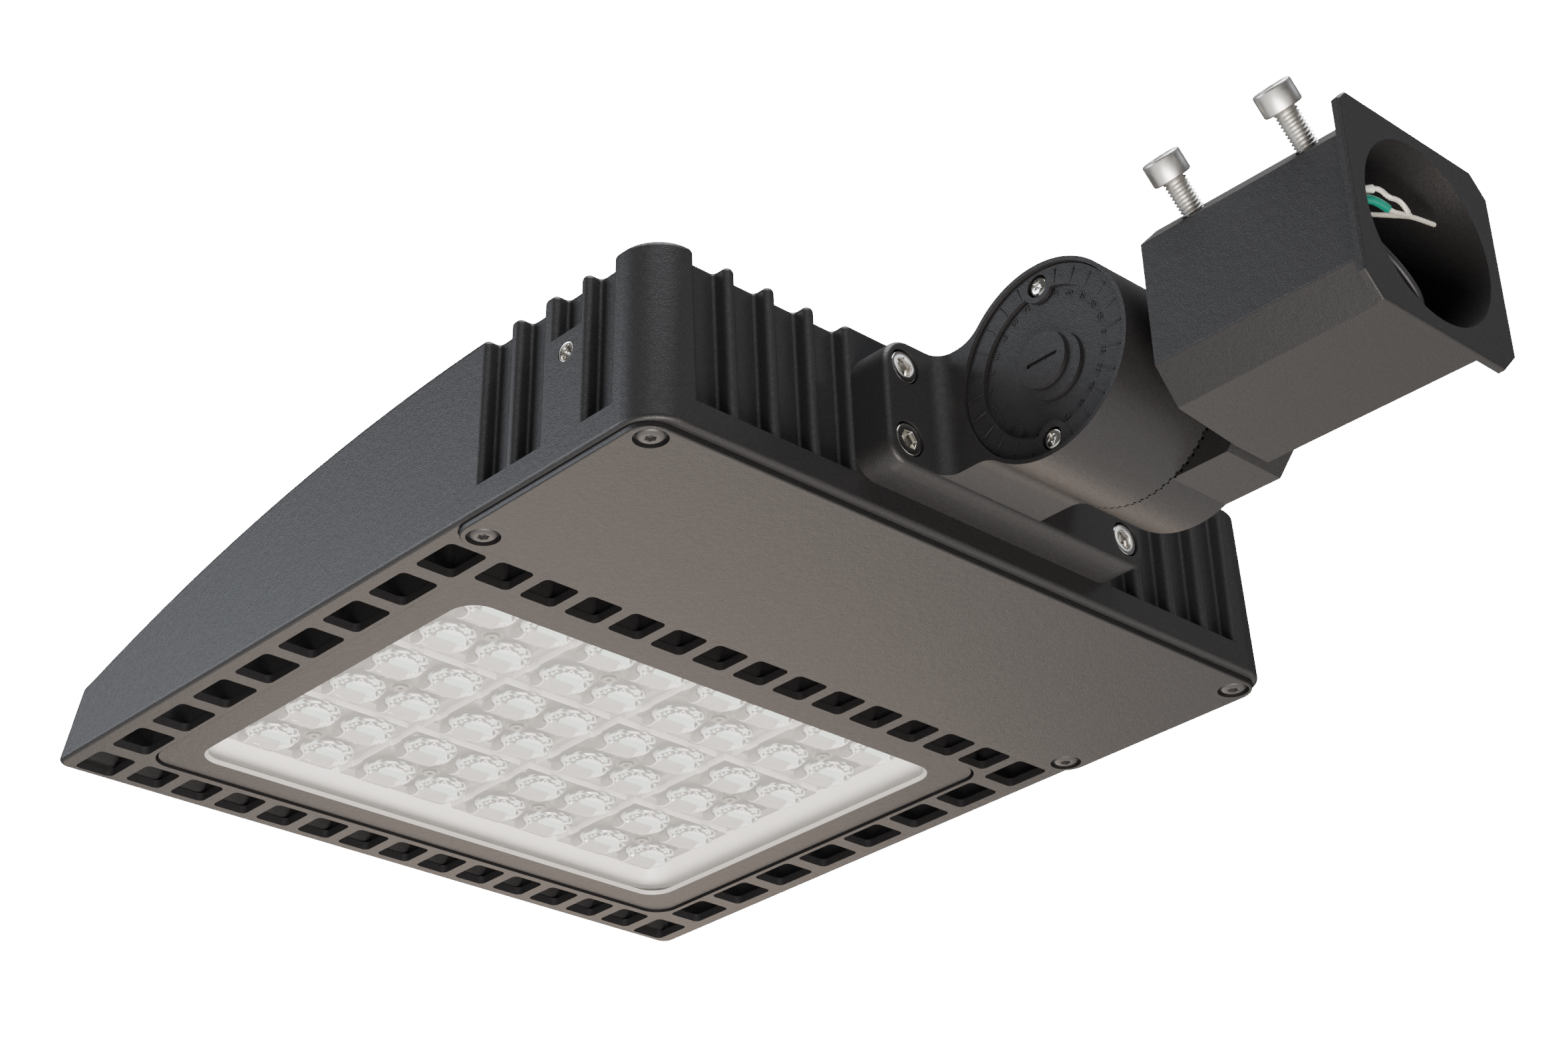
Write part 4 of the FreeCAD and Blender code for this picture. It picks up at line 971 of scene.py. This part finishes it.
foot = prism_foot()
barrel = lens_barrel()
boss = turned([(4.4, 0.2), (4.3, -0.9), (3.9, -1.2), (3.1, -1.2), (3.0, -0.6), (2.95, 0.1)])
boss.data.materials.append(flat_lens)
parts = [plate, boss]
for sx in (-1, 1):
    for sy in (-1, 1):
        x, y = sx * lens_step[0] / 2 * MM, sy * lens_step[1] / 2 * MM
        for model, (dx, dy) in ((foot, foot_shift), (barrel, barrel_shift)):
            parts.append(set_down(model, (x + dx * MM, y + dy * MM, 0), (0, 0, 1)))
bpy.data.objects.remove(foot)
bpy.data.objects.remove(barrel)
module = joined(*parts)
print("one lens module has %d faces" % len(module.data.polygons))

# %% Twelve modules
modules = sorted(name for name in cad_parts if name.startswith("lens_module"))
for name in modules:
    low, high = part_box(name)
    where = ((low[0] + high[0]) / 2, (low[1] + high[1]) / 2, high[2] - plate_size[2])
    piece = set_down(module, where, (0, 0, 1))
    enlist(piece, name + "_moulded", None, "head", name)
bpy.data.objects.remove(module)
print("laid %d lens modules" % len(modules))

# %% [markdown]
# ## The tray's lip
# Past the frame's edge the eye sees the pale lip on which the tray rests, and not the dark seal
# behind it. The lip is a flat ring with round corners: a plane whose corners are bevelled, its
# face inset by the ring's width, the middle taken out, and the rest drawn up to its thickness.
# It stands 5.25 mm above the face with the vents, just in front of the seal.

# %% A helper for flat rings
def rounded_ring(half_x, half_y, corner, width, rise):
    """A flat ring with round corners about the origin, drawn up from z = 0 by its rise."""
    bpy.ops.object.select_all(action="DESELECT")
    bpy.ops.mesh.primitive_plane_add(size=2.0)
    ring = bpy.context.object
    ring.scale = (half_x * MM, half_y * MM, 1.0)
    settle(ring)
    open_mesh()
    bpy.ops.mesh.bevel(offset=corner * MM, segments=12, affect="VERTICES")
    bpy.ops.mesh.select_all(action="SELECT")
    bpy.ops.mesh.inset(thickness=width * MM)
    bpy.ops.mesh.delete(type="FACE")
    bpy.ops.mesh.select_all(action="SELECT")
    draw_out(rise)
    close_mesh()
    return ring


window_half = (113.2, 80.8)
window_corner = 10.0
vent_face = -34.7 * MM
tray_low, tray_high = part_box("reflector_tray")
window_middle = ((tray_low[0] + tray_high[0]) / 2, (tray_low[1] + tray_high[1]) / 2)

# %% The tray's lip
lip_reach, lip_width, lip_thickness = 6.0, 1.9, 0.15
lip_height = 5.25
lip = rounded_ring(window_half[0] + lip_reach, window_half[1] + lip_reach,
                   window_corner + lip_reach, lip_width, lip_thickness)
lip.location = (*window_middle, vent_face + lip_height * MM)
settle(lip)
enlist(lip, "tray_lip", tray, "head")
print("the tray's lip has %d faces" % len(lip.data.polygons))

# %% [markdown]
# ## The glazing bead
# A fine bead of pale silicone closes the corner between the frame's edge and the pane. It is
# the same kind of ring. Its lower inner corner is then moved up to the pane, which turns its
# square section into a wedge.

# %% The glazing bead
wedge_width, wedge_rise, wedge_tip = 1.3, 1.3, 0.1
wedge_height = 0.85
wedge = rounded_ring(*window_half, window_corner, wedge_width, wedge_rise)
inner_corner = window_corner - wedge_width / 2
for corner in wedge.data.vertices:
    over_x = max(abs(corner.co.x) / MM - window_half[0] + window_corner, 0.0)
    over_y = max(abs(corner.co.y) / MM - window_half[1] + window_corner, 0.0)
    if math.hypot(over_x, over_y) < inner_corner and corner.co.z < wedge_tip * MM:
        corner.co.z = (wedge_rise - wedge_tip) * MM
wedge.location = (*window_middle, vent_face + wedge_height * MM)
settle(wedge)
only(wedge)
bpy.ops.object.shade_smooth_by_angle(angle=math.radians(30))
enlist(wedge, "glazing_bead", bead, "head")
print("the glazing bead has %d faces" % len(wedge.data.polygons))

# %% [markdown]
# ## Dial marks
# The cap is a protractor: a raised tick every fifteen degrees on its ring, except near its two
# screws, and small numbers beside them on the sunk dial. A tick is a block with soft edges, and
# each number is a text object that is made a mesh before it is put in place.

# %% Where the marks stand
cap_low, cap_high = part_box("protractor_cap")
dial_centre = Vector((0, (cap_low[1] + cap_high[1]) / 2, (cap_low[2] + cap_high[2]) / 2))
ring_height, dial_sink = 3.5, 1.4
ring_face = cap_low[0] + ring_height * MM
dial_floor = ring_face - dial_sink * MM
tick_radius, number_radius = 29.3, 23.4
tick_length, tick_width = 5.0, 0.5
tick_step = 15
angles = [angle for angle in range(0, 360, tick_step) if abs(angle % 180 - 90) >= tick_step]


def outward(angle):
    """The direction away from the dial's centre at an angle in degrees."""
    turn = math.radians(angle)
    return Vector((0, math.cos(turn), math.sin(turn)))


# %% Dial ticks
bpy.ops.object.select_all(action="DESELECT")
bpy.ops.mesh.primitive_cube_add(size=1.0)
tick = bpy.context.object
tick.scale = (tick_length * MM, tick_width * MM, tick_width * MM)
settle(tick)
soften(tick, 0.12, 40.0)

marks = []
for angle in angles:
    out = outward(angle)
    only(tick)
    bpy.ops.object.duplicate(linked=False)
    mark = bpy.context.object
    mark.rotation_mode = "QUATERNION"
    mark.rotation_quaternion = out.to_track_quat("X", "Z")
    mark.location = dial_centre + out * tick_radius * MM + Vector((ring_face, 0, 0))
    settle(mark)
    marks.append(mark)
bpy.data.objects.remove(tick)
ticks = joined(*marks)
enlist(ticks, "dial_ticks", coat, "head")

# %% Dial numbers
number_size, number_relief, number_lift = 2.9, 0.14, 0.1
numbers = []
for angle in angles:
    value = min(angle % 180, 180 - angle % 180)
    out = outward(angle)
    bpy.ops.object.select_all(action="DESELECT")
    bpy.ops.object.text_add()
    label = bpy.context.object
    label.data.body = str(value)
    label.data.size = number_size * MM
    label.data.extrude = number_relief * MM
    label.data.align_x = "CENTER"
    label.data.align_y = "CENTER"
    label.data.resolution_u = 3
    only(label)
    bpy.ops.object.convert(target="MESH")
    label = bpy.context.object
    facing = Vector((1, 0, 0))
    sideways = out.cross(facing)
    turned_axes = Matrix((sideways, out, facing)).transposed()
    label.rotation_mode = "QUATERNION"
    label.rotation_quaternion = turned_axes.to_quaternion()
    on_floor = Vector((dial_floor + number_lift * MM, 0, 0))
    label.location = dial_centre + out * number_radius * MM + on_floor
    settle(label)
    numbers.append(label)
figures = joined(*numbers)
only(figures)
open_mesh()
bpy.ops.mesh.remove_doubles(threshold=0.001 * MM)
close_mesh()
enlist(figures, "dial_numbers", coat, "head")
print("put %d ticks and %d numbers on the dial" % (len(marks), len(numbers)))

# %% Measure the sizes and finish
low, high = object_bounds()
